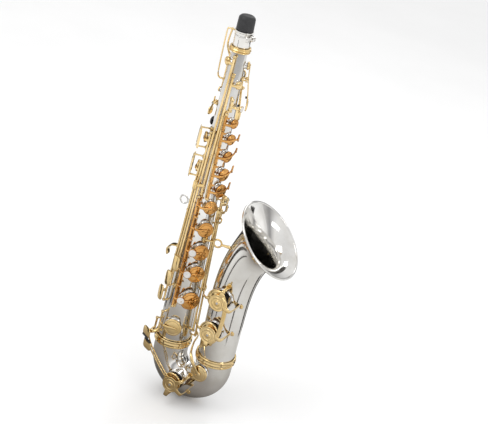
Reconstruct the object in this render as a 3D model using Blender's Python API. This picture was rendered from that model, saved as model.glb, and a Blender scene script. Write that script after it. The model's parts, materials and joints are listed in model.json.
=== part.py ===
"""A tenor saxophone body with its keywork and an end plug, without neck or mouthpiece.

Metres and degrees. +Z runs up the body tube, +X points from the tube to the bell, -Y is the player's
right. The origin is the centre of the strap ring. Heights in the tables are measured from the bottom
of the bow; angles go round the tube's axis from +X, so -90 is the player's right and 180 the back.
"""

import math

import bmesh
import bpy
from mathutils import Matrix, Vector

# Driving dimensions.
STRAP_HEIGHT = 0.400        # strap ring above the bow's bottom
STRAP_BACK = 0.042          # strap ring behind the tube's axis
TUBE_LOW, TUBE_TOP = 0.1124, 0.7116
TUBE_R_LOW, TUBE_R_TOP = 0.0336, 0.0143
WALL = 0.0013
TUBE_SIDES = 24
CUP_SIDES, CHIMNEY_SIDES = 16, 16
GAP = 0.0003

BOW_X, BOW_HEIGHT, BOW_RADIUS = 0.048, 0.0845, 0.048
BOW_R_TUBE, BOW_R_BELL = 0.0336, 0.0360
BOW_TOP = 0.1118
BELL_LOW = 0.1124
BELL_R, BELL_SWELL, BELL_FLARE = 0.0360, 0.0075, 0.0330
BELL_STRAIGHT, BELL_CURVED, BELL_BEND = 0.088, 0.202, 43.0
RIM_WIRE = 0.0022

RECEIVER_LOW, RECEIVER_TOP, RECEIVER_R, RECEIVER_BORE = 0.7120, 0.7520, 0.0158, 0.0132
PLUG_R, PLUG_TALL, PLUG_STEM_R, PLUG_STEM = 0.0158, 0.028, 0.0127, 0.022

CHIMNEY_TALL = 0.0036
PAD_GAP = 0.0004
CUP_TALL = 0.0044
CUP_LIP = 0.0013            # cup beyond its chimney
ARM_THICK, ARM_WIDE = 0.0017, 0.0046
HINGE_ABOVE = 0.0080        # hinge line above the tube's surface
SLEEVE_R, SLEEVE_BORE, ROD_R = 0.0025, 0.00145, 0.0011
POST_BALL, POST_STEM = 0.0033, 0.0016
END_PLAY = 0.0005
PEARL_TALL = 0.0030
NECK_PAD = 0.0004            # how far an arm's line runs above the cup it is soldered to
LONG_ROD_R = 0.0021          # long keys' rods
POST_REACH = END_PLAY + POST_STEM * 1.15
CLAMP_ANGLE = -8.0
CLAMP_REACH = RECEIVER_R + 0.0042
GUARD_LIFT = 0.0145          # key guards above their cups
GUARD_THICK = 0.0016
BELL_GUARD_EDGE = ((0.0985, 0.1710), (0.1075, 0.1820), (0.1120, 0.2000), (0.1135, 0.2220), (0.1135, 0.2450),
                   (0.1100, 0.2640), (0.1020, 0.2740))

GOLD = ((0.80, 0.55, 0.20, 1.0), 1.0, 0.22)
AMBER = ((0.66, 0.36, 0.10, 1.0), 1.0, 0.24)
SILVER = ((0.80, 0.79, 0.77, 1.0), 1.0, 0.10)
STEEL = ((0.55, 0.55, 0.56, 1.0), 1.0, 0.30)
BLACK = ((0.02, 0.02, 0.022, 1.0), 0.0, 0.55)

UP = Vector((0, 0, 1))
RIGHT = Vector((0, -1, 0))

# name, height, chimney radius, hinge tube from, hinge tube to, opening, touch angle, touch height,
# touch radius
UPPER_STACK = (
    ("small_c_key", 0.582, 0.0080, 0.5690, 0.5980, 5.5, None, None, None),
    ("b_key", 0.551, 0.0092, 0.5375, 0.5680, 5.5, 21.0, 0.553, 0.0072),
    ("bis_key", 0.517, 0.0098, 0.5035, 0.5365, 5.5, 23.0, 0.528, 0.0048),
    ("a_key", 0.481, 0.0112, 0.4665, 0.5025, 5.5, 22.0, 0.490, 0.0074),
    ("g_key", 0.448, 0.0122, 0.4345, 0.4655, 5.5, 21.0, 0.456, 0.0074),
)
UPPER_CUP, UPPER_HINGE = -14.0, -62.0
UPPER_POSTS = (0.4325, 0.6000)

LOWER_STACK = (
    ("f_sharp_key", 0.369, 0.0140, 0.3485, 0.3950, 6.0, None, None, None),
    ("f_key", 0.321, 0.0150, 0.3020, 0.3475, 6.0, -67.0, 0.322, 0.0080),
    ("e_key", 0.275, 0.0160, 0.2500, 0.3010, 6.0, -68.0, 0.276, 0.0080),
    ("d_key", 0.217, 0.0172, 0.2010, 0.2490, 6.0, -69.0, 0.219, 0.0080),
)
LOWER_CUP, LOWER_HINGE = -42.0, -91.0
LOWER_POSTS = (0.1990, 0.4320)

# name, hinge angle at its low end and at its high end, low end, high end, cup angle, cup height,
# chimney radius, touch low, touch high, opening
SIDE_KEYS = (
    ("side_e_key", -108.4, -84.0, 0.2740, 0.7050, -126.0, 0.694, 0.0066, 0.2800, 0.3120, 9.0),
    ("side_c_key", -118.5, -106.5, 0.2380, 0.5560, -150.0, 0.541, 0.0092, 0.2430, 0.2755, 9.0),
    ("side_b_flat_key", -129.5, -121.5, 0.2010, 0.4950, -162.0, 0.480, 0.0102, 0.2060, 0.2385, 9.0),
)
SIDE_TOUCH_TURN, SIDE_TOUCH_ABOVE, SIDE_TOUCH_WIDE = 10.0, 0.0245, 0.0140
HIGH_F_SHARP = ("high_f_sharp_key", -85.5, -70.0, 0.4420, 0.6700)
HIGH_F_SHARP_CUP = (0.656, -34.0, 0.0062)
HIGH_F_SHARP_TOUCH = (0.446, 0.466, -103.0, 0.0200, 0.0085)

# Bridges over the side keys' cups: name, angle, low end, high end
SIDE_GUARDS = (
    ("side_c_guard", -150.0, 0.5190, 0.5600),
    ("side_b_flat_guard", -162.0, 0.4580, 0.5020),
)
SIDE_GUARD_ABOVE, SIDE_GUARD_HALF = 0.0180, 20.0

# name, angle, cup height, chimney radius, hinge height, touch low, touch high, opening
PALM_KEYS = (
    ("palm_f_key", 22.0, 0.690, 0.0064, 0.6640, 0.606, 0.628, 9.0),
    ("palm_e_flat_key", 72.0, 0.668, 0.0072, 0.6420, 0.574, 0.600, 9.0),
    ("palm_d_key", 122.0, 0.646, 0.0080, 0.6180, 0.548, 0.580, 9.0),
)

# Cups on the player's right of bow and bell: name, x, height, chimney radius
LOW_CUPS = (
    ("low_c", 0.040, 0.046, 0.0180),
    ("low_c_sharp", 0.086, 0.0855, 0.0160),
    ("low_b", 0.092, 0.186, 0.0190),
    ("low_b_flat", 0.095, 0.258, 0.0195),
)
LOW_CHIMNEY_FACE = {"low_c": -0.0385, "low_c_sharp": -0.0395, "low_b": -0.0400, "low_b_flat": -0.0415}
LOW_CHIMNEY_FOOT = {"low_c": 0.0225, "low_c_sharp": 0.0250, "low_b": 0.0250, "low_b_flat": 0.0250}
LOW_OPENING = 7.0
PALM_HALF = 0.0040           # half of a palm key's hinge tube
PIN_SPARE = 0.0055           # how far its pin runs on past each end
TABLE_RODS = (
    ("low_b", -9.0, 0.1500, 0.4100),
    ("low_b_flat", 6.0, 0.2360, 0.4240),
    ("low_c_sharp", 21.0, 0.1280, 0.4380),
)
LOW_C_HINGE, LOW_C_ANGLE = (0.1270, 0.1500), -141.0
LOW_E_FLAT_HINGE, LOW_E_FLAT_ANGLE = (0.1340, 0.1740), -119.0
LOW_E_FLAT_CUP = (0.153, -76.0, 0.0165)
G_SHARP_CUP = (0.414, -42.0, 0.0122)
G_SHARP_HINGE, G_SHARP_ANGLE, G_SHARP_TRAVEL = (0.3720, 0.3940), 37.0, 6.0
FRONT_F_HINGE, FRONT_F_ANGLE = (0.6100, 0.6270), -50.0
OCTAVE_VENT = (0.632, 176.0, 0.0036)
OCTAVE_HINGE, OCTAVE_ABOVE = 0.6060, 0.0070
OCTAVE_ROD, OCTAVE_ANGLE = (0.6240, 0.7000), 152.0
BELL_RUNS = (0.0, 0.088, 0.128, 0.160, 0.188, 0.212, 0.232, 0.248, 0.260, 0.2695, 0.277, 0.283, 0.2875, 0.290)


def tube_radius(height):
    """Outer radius of the body tube at a height."""
    share = (height - TUBE_LOW) / (TUBE_TOP - TUBE_LOW)
    return TUBE_R_LOW + share * (TUBE_R_TOP - TUBE_R_LOW)


def place(x, y, height):
    """A point given from the tube's axis and the bow's bottom, in the part's frame."""
    return Vector((x + STRAP_BACK, y, height - STRAP_HEIGHT))


def outward(angle):
    turn = math.radians(angle)
    return Vector((math.cos(turn), math.sin(turn), 0))


def around(angle):
    turn = math.radians(angle)
    return Vector((-math.sin(turn), math.cos(turn), 0))


def on_tube(height, angle, above=0.0):
    """A point this far above the tube's surface."""
    reach = outward(angle) * (tube_radius(height) + above)
    return place(reach.x, reach.y, height)


# ---------------------------------------------------------------- mesh helpers


def closed_mesh(points, faces):
    mesh = bpy.data.meshes.new("shape")
    mesh.from_pydata([tuple(point) for point in points], [], faces)
    work = bmesh.new()
    work.from_mesh(mesh)
    bmesh.ops.recalc_face_normals(work, faces=work.faces)
    work.to_mesh(mesh)
    work.free()
    return mesh


def skinned(rings, loop=False):
    """A closed mesh over rings of points. A ring of one point is a pole; end rings get flat caps."""
    points, faces, starts = [], [], []
    for ring in rings:
        starts.append(len(points))
        points.extend(ring)
    count = len(rings)
    for index in range(count if loop else count - 1):
        following = (index + 1) % count
        low, high = rings[index], rings[following]
        a, b = starts[index], starts[following]
        sides = max(len(low), len(high))
        for k in range(sides):
            n = (k + 1) % sides
            if len(low) == 1:
                faces.append((a, b + k, b + n))
            elif len(high) == 1:
                faces.append((a + k, a + n, b))
            else:
                faces.append((a + k, a + n, b + n, b + k))
    if not loop:
        for ring, start in ((rings[0], starts[0]), (rings[-1], starts[-1])):
            if len(ring) > 1:
                faces.append(tuple(range(start, start + len(ring))))
    return closed_mesh(points, faces)


def circle(centre, first, second, radius, sides):
    if radius == 0:
        return [centre]
    step = 2 * math.pi / sides
    turns = [step * k for k in range(sides)]
    return [centre + radius * (math.cos(turn) * first + math.sin(turn) * second) for turn in turns]


def turned(profile, base, axis, sides=16, start=None, loop=False):
    """A lathe shape: profile holds (radius, distance along the axis)."""
    axis = axis.normalized()
    first = start if start else axis.orthogonal().normalized()
    first = (first - axis * first.dot(axis)).normalized()
    second = axis.cross(first)
    return skinned([circle(base + axis * along, first, second, r, sides) for r, along in profile], loop)


def rod(low, high, radius, sides=8):
    axis = high - low
    return turned(((radius, 0), (radius, axis.length)), low, axis, sides)


def hexagon(radius, centre=0.0):
    """The section of a round wire."""
    turns = [k * math.pi / 3 for k in range(6)]
    return [(centre + radius * math.cos(turn), radius * math.sin(turn)) for turn in turns]


def sleeve(low, high, outer=SLEEVE_R, bore=SLEEVE_BORE, sides=8, start=None):
    """A tube with an open bore, for a hinge."""
    axis = high - low
    length = axis.length
    profile = ((bore, 0), (outer, 0), (outer, length), (bore, length))
    return turned(profile, low, axis, sides, start, loop=True)


def swept(path, radii, sides, side):
    """Round sections along a path whose bends lie in the plane square to `side`."""
    rings = []
    for index, point in enumerate(path):
        ahead = path[min(index + 1, len(path) - 1)] - path[max(index - 1, 0)]
        other = ahead.normalized().cross(side)
        rings.append(circle(point, other, side, radii[index], sides))
    return skinned(rings)


def strip(path, wide, thick, face):
    """A flat bar along a path; face is the normal of its flat side, one for all or one a point."""
    rings = []
    for index, point in enumerate(path):
        ahead = (path[min(index + 1, len(path) - 1)] - path[max(index - 1, 0)]).normalized()
        normal = face[index] if isinstance(face, (list, tuple)) else face
        across = ahead.cross(normal).normalized()
        flat = across.cross(ahead).normalized()
        w = (wide[index] if isinstance(wide, (list, tuple)) else wide) / 2
        t = thick / 2
        rings.append([point + across * w + flat * t, point - across * w + flat * t,
                      point - across * w - flat * t, point + across * w - flat * t])
    return skinned(rings)


def cup(centre, normal, radius, sides=CUP_SIDES):
    """A pad cup whose flat pad face lies at the centre."""
    profile = ((radius, 0), (radius, CUP_TALL * 0.62), (radius * 0.80, CUP_TALL * 0.95), (0, CUP_TALL))
    return turned(profile, centre, normal, sides)


def button(centre, normal, radius, tall, sides=12):
    return turned(((radius, 0), (radius, tall)), centre, normal, sides)


def plate(centre, normal, along, size, thick):
    """A flat plate with cut corners, centred, with `size` as its length along and its width."""
    along = (along - normal * along.dot(normal)).normalized()
    side = normal.cross(along)
    a, b = size[0] / 2, size[1] / 2
    cut = min(a, b) * 0.45
    outline = ((a - cut, b), (a, b - cut), (a, cut - b), (a - cut, -b),
               (cut - a, -b), (-a, cut - b), (-a, b - cut), (cut - a, b))
    rings = []
    for level in (-thick / 2, thick / 2):
        rings.append([centre + along * u + side * v + normal * level for u, v in outline])
    return skinned(rings)


def post(hinge, foot, axis, bored=True):
    """A post: a stem from its foot and a ball on the hinge line, bored where a rod runs through."""
    axis = axis.normalized()
    lean = (hinge - foot).normalized()
    half = POST_STEM * 1.15
    if bored:
        profile = ((SLEEVE_BORE, -half), (POST_BALL, -half), (POST_BALL, half), (SLEEVE_BORE, half))
        ball = turned(profile, hinge, axis, 8, lean, loop=True)
    else:
        profile = ((POST_BALL, -half), (POST_BALL, half))
        ball = turned(profile, hinge, axis, 8, lean)
    stem = rod(foot, hinge - lean * (SLEEVE_BORE + 0.0008), POST_STEM, 6)
    return [ball, stem]


# ---------------------------------------------------------------- scene helpers


def material(name, finish):
    colour, metallic, roughness = finish
    made = bpy.data.materials.new(name)
    made.use_nodes = True
    shader = made.node_tree.nodes["Principled BSDF"]
    shader.inputs["Base Color"].default_value = colour
    shader.inputs["Metallic"].default_value = metallic
    shader.inputs["Roughness"].default_value = roughness
    return made


def helper(mesh):
    made = bpy.data.objects.new("helper", mesh)
    bpy.context.scene.collection.objects.link(made)
    made.hide_render = True
    made.display_type = "WIRE"
    return made


def fused(name, shapes, finish, cuts=()):
    """One object from shapes joined by Boolean unions, with cuts taken away."""
    result = bpy.data.objects.new(name, shapes[0])
    bpy.context.scene.collection.objects.link(result)
    helpers = []
    for operation, meshes in (("UNION", shapes[1:]), ("DIFFERENCE", cuts)):
        for mesh in meshes:
            helpers.append(helper(mesh))
            modifier = result.modifiers.new(operation.title(), "BOOLEAN")
            modifier.operation = operation
            modifier.object = helpers[-1]
    if helpers:
        graph = bpy.context.evaluated_depsgraph_get()
        whole = bpy.data.meshes.new_from_object(result.evaluated_get(graph))
        result.modifiers.clear()
        result.data = whole
        for used in helpers:
            bpy.data.objects.remove(used)
    result.data.name = name
    result.data.materials.clear()
    result.data.materials.append(material(name, finish))
    result.data.shade_smooth()
    result.data.set_sharp_from_angle(angle=math.radians(35))
    return result


def hinged(name, shapes, finish, pivot, axis, travel, rest=0.0, cuts=()):
    """A key made in its closed pose, turned to its rest pose, with its origin on its hinge line."""
    key = fused(name, shapes, finish, cuts)
    key.data.transform(Matrix.Rotation(math.radians(rest), 4, axis) @ Matrix.Translation(-pivot))
    key.location = pivot
    key["hinge_axis"] = tuple(axis)
    key["travel_deg"] = travel
    return key


def stack_line(angle, low, high):
    """Both ends of a hinge line that follows the tube's taper."""
    return on_tube(low, angle, HINGE_ABOVE), on_tube(high, angle, HINGE_ABOVE)


def point_at(line, low, high, height):
    share = (height - low) / (high - low)
    return line[0].lerp(line[1], share)


# ---------------------------------------------------------------- body


def chimney(height, angle, radius):
    """The chimney and the hole through it, both square to the tube's axis."""
    face = tube_radius(height) + CHIMNEY_TALL
    deep = math.sqrt(max((tube_radius(height) - WALL) ** 2 - radius ** 2, 0)) - 0.0012
    base = place(0, 0, height) + outward(angle) * deep
    tall = face - deep
    outer = turned(((radius, 0), (radius, tall)), base, outward(angle), CHIMNEY_SIDES, UP)
    bore = radius - 0.0014
    hole = turned(((bore, -0.004), (bore, tall + 0.002)), base, outward(angle), CHIMNEY_SIDES, UP)
    return outer, hole


def tone_holes():
    for name, height, radius, *_ in UPPER_STACK:
        yield height, UPPER_CUP, radius
    for name, height, radius, *_ in LOWER_STACK:
        yield height, LOWER_CUP, radius
    for row in SIDE_KEYS:
        yield row[6], row[5], row[7]
    for row in PALM_KEYS:
        yield row[2], row[1], row[3]
    yield G_SHARP_CUP
    yield LOW_E_FLAT_CUP
    yield HIGH_F_SHARP_CUP
    yield OCTAVE_VENT


def make_body_tube():
    low = place(0, 0, TUBE_LOW)
    first = Vector((1, 0, 0))
    length = TUBE_TOP - TUBE_LOW
    shapes = [turned(((TUBE_R_LOW, 0), (TUBE_R_TOP, length)), low, UP, TUBE_SIDES, first)]
    slope = (TUBE_R_TOP - TUBE_R_LOW) / length
    spare = 0.01
    wide, narrow = TUBE_R_LOW - WALL - slope * spare, TUBE_R_TOP - WALL + slope * spare
    profile = ((wide, -spare), (narrow, length + spare))
    cuts = [turned(profile, low, UP, TUBE_SIDES, first)]
    for height, angle, radius in tone_holes():
        outer, hole = chimney(height, angle, radius)
        shapes.append(outer)
        cuts.append(hole)
    for pair in list(loose_posts()) + list(palm_posts()) + list(octave_posts()):
        shapes.extend(pair)
    return fused("body_tube", shapes, SILVER, cuts)


def loose_posts():
    """Posts soldered straight to the tube, for keys that turn between point screws."""
    rods = [row[1:5] for row in SIDE_KEYS + (HIGH_F_SHARP,)]
    rods += [(angle, angle, low, high) for name, angle, low, high in TABLE_RODS]
    for angle, span in ((LOW_C_ANGLE, LOW_C_HINGE), (LOW_E_FLAT_ANGLE, LOW_E_FLAT_HINGE),
                        (G_SHARP_ANGLE, G_SHARP_HINGE), (FRONT_F_ANGLE, FRONT_F_HINGE)):
        rods.append((angle, angle, *span))
    for low_angle, high_angle, low, high in rods:
        ends = on_tube(low, low_angle, HINGE_ABOVE), on_tube(high, high_angle, HINGE_ABOVE)
        axis = (ends[1] - ends[0]).normalized()
        for end, angle, height, side in ((ends[0], low_angle, low, -1), (ends[1], high_angle, high, 1)):
            foot = on_tube(height + side * POST_REACH, angle, -0.0007)
            yield post(end + axis * side * POST_REACH, foot, axis, bored=False)


def low_chimney(name, x, height, radius):
    face = LOW_CHIMNEY_FACE[name]
    deep = LOW_CHIMNEY_FOOT[name]
    base = place(x, -deep, height)
    tall = -face - deep
    outer = turned(((radius, 0), (radius, tall)), base, RIGHT, CHIMNEY_SIDES, UP)
    bore = radius - 0.0015
    hole = turned(((bore, -0.006), (bore, tall + 0.002)), base, RIGHT, CHIMNEY_SIDES, UP)
    return outer, hole


def bow_path(spare=0.0):
    """From the tube's side, down and round, to the bell's side."""
    points = [place(0, 0, BOW_TOP + spare), place(0, 0, BOW_HEIGHT + 0.010)]
    steps = 10
    for k in range(steps + 1):
        turn = math.pi + math.pi * k / steps
        points.append(place(BOW_X + BOW_RADIUS * math.cos(turn), 0, BOW_HEIGHT + BOW_RADIUS * math.sin(turn)))
    points += [place(2 * BOW_X, 0, BOW_HEIGHT + 0.010), place(2 * BOW_X, 0, BOW_TOP + spare)]
    return points


def make_bow():
    side = Vector((0, 1, 0))
    path = bow_path()
    radii = [BOW_R_TUBE + (BOW_R_BELL - BOW_R_TUBE) * k / (len(path) - 1) for k in range(len(path))]
    shapes = [swept(path, radii, TUBE_SIDES, side)]
    inner = [radius - WALL for radius in radii]
    cuts = [swept(bow_path(0.01), inner, TUBE_SIDES, side)]
    for row in LOW_CUPS[:2]:
        outer, hole = low_chimney(*row)
        shapes.append(outer)
        cuts.append(hole)
    return fused("bow", shapes, SILVER, cuts)


def bell_point(run):
    """The bell's centre line at a distance along it."""
    x, height, turn = 2 * BOW_X, BELL_LOW + min(run, BELL_STRAIGHT), 0.0
    if run > BELL_STRAIGHT:
        steps = 60
        step = (run - BELL_STRAIGHT) / steps
        for k in range(steps):
            share = (k + 0.5) * step / BELL_CURVED
            turn = math.radians(BELL_BEND) * share ** 2
            x += math.sin(turn) * step
            height += math.cos(turn) * step
        turn = math.radians(BELL_BEND) * ((run - BELL_STRAIGHT) / BELL_CURVED) ** 2
    return place(x, 0, height), turn


def bell_radius(run):
    length = BELL_STRAIGHT + BELL_CURVED
    return BELL_R + BELL_SWELL * (run / length) ** 2 + BELL_FLARE * math.exp((run - length) / 0.0145)


def bell_sections(shrink=0.0, spare=0.0):
    side = Vector((0, 1, 0))
    rings = []
    for run in BELL_RUNS:
        centre, turn = bell_point(run)
        ahead = Vector((math.sin(turn), 0, math.cos(turn)))
        rings.append((centre, ahead, bell_radius(run) - shrink))
    if spare:
        centre, ahead, radius = rings[0]
        rings.insert(0, (centre - ahead * spare, ahead, radius))
        centre, ahead, radius = rings[-1]
        rings.append((centre + ahead * spare, ahead, radius + spare * 1.5))
    return skinned([circle(c, a.cross(side), side, r, TUBE_SIDES) for c, a, r in rings])


def make_bell():
    shapes = [bell_sections()]
    cuts = [bell_sections(WALL, 0.006)]
    for row in LOW_CUPS[2:]:
        outer, hole = low_chimney(*row)
        shapes.append(outer)
        cuts.append(hole)
    centre, turn = bell_point(BELL_RUNS[-1])
    ahead = Vector((math.sin(turn), 0, math.cos(turn)))
    edge = bell_radius(BELL_RUNS[-1]) + 0.0006
    wire = [(edge + r, along - 0.0006) for r, along in hexagon(RIM_WIRE)]
    rim = turned(wire, centre, ahead, TUBE_SIDES, Vector((0, 1, 0)), loop=True)
    drawn = fused("drawn_bell", shapes, SILVER, cuts)
    shell = drawn.data
    bpy.data.objects.remove(drawn)
    return fused("bell", [shell, rim], SILVER)


def collar(name, x, radius, low, high, finish):
    """A beaded ring round a joint."""
    inside = radius + GAP * 1.5
    tall = high - low
    edge, crest = inside + 0.0030, inside + 0.0042
    profile = ((inside, 0), (edge, 0), (crest, tall * 0.5), (edge, tall), (inside, tall))
    ring = turned(profile, place(x, 0, low), UP, TUBE_SIDES, Vector((1, 0, 0)), loop=True)
    return fused(name, [ring], finish)


def make_receiver():
    base = place(0, 0, RECEIVER_LOW)
    tall = RECEIVER_TOP - RECEIVER_LOW
    first = Vector((1, 0, 0))
    lip = RECEIVER_R + 0.0012
    profile = ((RECEIVER_BORE, 0), (RECEIVER_R, 0), (RECEIVER_R, tall - 0.003), (lip, tall - 0.002),
               (lip, tall), (RECEIVER_BORE, tall))
    shell = turned(profile, base, UP, 24, first, loop=True)
    level = place(0, 0, RECEIVER_TOP - 0.009)
    out, along = outward(CLAMP_ANGLE), -around(CLAMP_ANGLE)
    ear = plate(level + out * (RECEIVER_R + 0.0035), along, UP, (0.010, 0.010), 0.0086)
    at = level + out * CLAMP_REACH
    bore = rod(at - along * 0.02, at + along * 0.02, 0.0019, 10)
    slot = plate(level + out * RECEIVER_R, along, UP, (0.026, 0.016), 0.0012)
    fused("neck_receiver", [shell, ear], SILVER, [bore, slot])
    profile = ((0.0014, -0.0075), (0.0014, 0.0060), (0.0024, 0.0064), (0.0024, 0.0090), (0.0012, 0.0094),
               (0.0012, 0.0130))
    screw = turned(profile, at, along, 10)
    thumb = plate(at + along * 0.0165, UP.cross(along), along, (0.009, 0.010), 0.0016)
    fused("receiver_screw", [screw, thumb], SILVER)


def make_plug():
    base = place(0, 0, RECEIVER_TOP - PLUG_STEM)
    profile = ((PLUG_STEM_R - 0.001, 0), (PLUG_STEM_R, 0.002), (PLUG_STEM_R, PLUG_STEM + 0.0004),
               (PLUG_R, PLUG_STEM + 0.0004), (PLUG_R, PLUG_STEM + PLUG_TALL * 0.80),
               (PLUG_R - 0.0022, PLUG_STEM + PLUG_TALL * 0.96), (PLUG_R - 0.006, PLUG_STEM + PLUG_TALL),
               (0, PLUG_STEM + PLUG_TALL))
    plug = fused("end_plug", [turned(profile, base, UP, 24, Vector((1, 0, 0)))], BLACK)
    plug["slide_axis"] = (0.0, 0.0, 1.0)
    plug["travel_m"] = 0.030


def make_strap_ring():
    centre = place(-STRAP_BACK, 0, STRAP_HEIGHT)
    side = Vector((0, 1, 0))
    wire, radius = 0.0017, 0.0078
    ring = turned(hexagon(wire, radius), centre, side, 18, UP, loop=True)
    surface = tube_radius(STRAP_HEIGHT) + GAP * 2
    foot = plate(place(-surface - 0.0009, 0, STRAP_HEIGHT), Vector((1, 0, 0)), UP, (0.034, 0.013), 0.0016)
    neck = strip([place(-surface - 0.0004, 0, STRAP_HEIGHT), place(-STRAP_BACK + radius, 0, STRAP_HEIGHT)],
                 [0.016, 0.006], 0.0034, side)
    fused("strap_ring", [foot, neck, ring], SILVER)


def saddle(height, angle, long, wide, thick=0.0013):
    """A foot plate on the tube: a flat strip clear of the tube's curve."""
    middle = on_tube(height, angle, GAP * 2 + thick / 2 + 0.0002)
    return plate(middle, outward(angle), UP, (long, wide), thick)


def make_thumb_pieces():
    back = 180.0
    disc_height = 0.571
    at = on_tube(disc_height, back, 0.0)
    profile = ((0.0085, 0.0008), (0.0085, 0.0024), (0.0060, 0.0052), (0, 0.0056))
    disc = turned(profile, at, outward(back), 14, UP)
    fused("thumb_rest", [disc], BLACK)
    hook_height = 0.292
    foot = saddle(hook_height, back, 0.040, 0.014)
    out = outward(back)
    base = on_tube(hook_height, back, 0.0)
    bends = ((0.0010, 0.010), (0.0085, 0.0115), (0.0185, 0.0080), (0.0240, -0.0010), (0.0225, -0.0120))
    path = [base + out * off + UP * along for off, along in bends]
    faces = [UP, UP, (UP + out).normalized(), out, out]
    hook = strip(path, [0.011, 0.012, 0.014, 0.015, 0.013], 0.0026, faces)
    fused("thumb_hook", [foot, hook], GOLD)


# ---------------------------------------------------------------- stacks


def make_stack(prefix, rows, cup_angle, hinge_angle, posts, finish, cup_finish):
    low, high = posts
    line = stack_line(hinge_angle, low, high)
    axis = (line[1] - line[0]).normalized()
    rib_low, rib_high = low - 0.004, high + 0.004
    lift = GAP * 2 + 0.0008
    path = [on_tube(rib_low, hinge_angle, lift), on_tube(rib_high, hinge_angle, lift)]
    shapes = [strip(path, 0.0060, 0.0014, outward(hinge_angle))]
    for height in posts:
        hinge = point_at(line, low, high, height)
        shapes.extend(post(hinge, on_tube(height, hinge_angle, 0.0012), axis))
    fused(prefix + "_rib", shapes, finish)
    start = line[0] - axis * 0.0030
    end = line[1] + axis * 0.0030
    fused(prefix + "_rod", [rod(start, end, ROD_R, 10)], STEEL)
    for name, height, radius, tube_low, tube_high, opening, touch_angle, touch_height, touch_r in rows:
        make_stack_key(name, height, radius, cup_angle, hinge_angle, line, posts, (tube_low, tube_high),
                       opening, touch_angle, touch_height, touch_r, cup_finish)


def make_stack_key(name, height, radius, cup_angle, hinge_angle, line, posts, tube_span, opening,
                   touch_angle, touch_height, touch_r, finish, closed=False):
    low, high = posts
    normal = outward(cup_angle)
    seat = place(0, 0, height) + normal * (tube_radius(height) + CHIMNEY_TALL + PAD_GAP)
    top = seat + normal * (CUP_TALL + NECK_PAD)
    at_cup = point_at(line, low, high, height)
    side = outward(hinge_angle)
    between = (cup_angle + hinge_angle) / 2
    arch = place(0, 0, height) + outward(between) * (tube_radius(height) + 0.0120)
    shapes = [cup(seat, normal, radius + CUP_LIP)]
    arm = [at_cup + side * 0.0022, arch, top, top + around(cup_angle) * radius * 0.55]
    faces = [side, outward(between), normal, normal]
    shapes.append(strip(arm, [0.0040, ARM_WIDE, ARM_WIDE, 0.0030], ARM_THICK, faces))
    tube_ends = [point_at(line, low, high, end) for end in tube_span]
    shapes.append(sleeve(*tube_ends, start=side))
    if touch_angle is not None:
        face = outward(touch_angle)
        reach = 0.0135 if touch_angle > cup_angle else 0.0150
        spot = on_tube(touch_height, touch_angle, reach)
        shapes.append(button(spot - face * PEARL_TALL, face, touch_r, PEARL_TALL + 0.0006))
        if touch_angle > cup_angle:
            lever = [top, top.lerp(spot, 0.55) + normal * 0.0012, spot - face * 0.0018]
            shapes.append(strip(lever, 0.0044, ARM_THICK, [normal, normal, face]))
        else:
            shapes.append(rod(arch - outward(between) * 0.0002, spot - face * 0.0012, 0.0030, 8))
    pivot = at_cup
    axis = (line[1] - line[0]).normalized()
    closing = 1.0 if axis.cross(seat - pivot).dot(normal) < 0 else -1.0
    if closed:
        hinged(name, shapes, finish, pivot, axis * -closing, opening)
    else:
        hinged(name, shapes, finish, pivot, axis * closing, opening, -opening)


# ---------------------------------------------------------------- side keys


def long_key(name, low_angle, high_angle, low, high, cup_angle, cup_height, radius, touch, travel, finish):
    """A closed key on a long rod: the touch at its low end lifts the cup at its high end."""
    ends = on_tube(low, low_angle, HINGE_ABOVE), on_tube(high, high_angle, HINGE_ABOVE)
    axis = (ends[1] - ends[0]).normalized()
    shapes = [rod(ends[0], ends[1], LONG_ROD_R, 8)]
    normal = outward(cup_angle)
    seat = place(0, 0, cup_height) + normal * (tube_radius(cup_height) + CHIMNEY_TALL + PAD_GAP)
    shapes.append(cup(seat, normal, radius + CUP_LIP, 14))
    at_cup = point_at(ends, low, high, cup_height)
    hinge_angle = low_angle + (high_angle - low_angle) * (cup_height - low) / (high - low)
    between = (cup_angle + hinge_angle) / 2
    arch = place(0, 0, cup_height) + outward(between) * (tube_radius(cup_height) + 0.0105)
    top = seat + normal * (CUP_TALL + 0.0003)
    arm = [at_cup + outward(hinge_angle) * 0.0008, arch, top]
    faces = [outward(hinge_angle), outward(between), normal]
    shapes.append(strip(arm, [0.0040, 0.0046, 0.0034], ARM_THICK, faces))
    touch_low, touch_high, touch_angle, touch_above, touch_wide = touch
    middle = (touch_low + touch_high) / 2
    face = outward(touch_angle)
    spot = place(0, 0, middle) + face * (tube_radius(middle) + touch_above)
    shapes.append(plate(spot, face, UP, (touch_high - touch_low, touch_wide), 0.0020))
    root = point_at(ends, low, high, middle)
    shapes.append(strip([root + outward(low_angle) * 0.0008, root.lerp(spot, 0.5) + face * 0.0010, spot],
                        0.0060, 0.0020, [outward(low_angle), face, face]))
    pivot = root
    opening = 1.0 if axis.cross(seat - at_cup).dot(normal) > 0 else -1.0
    hinged(name, shapes, finish, pivot, axis * opening, travel)


def make_side_keys():
    for *key, touch_low, touch_high, travel in SIDE_KEYS:
        touch_angle = key[1] + SIDE_TOUCH_TURN
        touch = (touch_low, touch_high, touch_angle, SIDE_TOUCH_ABOVE, SIDE_TOUCH_WIDE)
        long_key(*key, touch, travel, GOLD)
    height, angle, radius = HIGH_F_SHARP_CUP
    long_key(*HIGH_F_SHARP, angle, height, radius, HIGH_F_SHARP_TOUCH, 9.0, GOLD)


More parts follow.
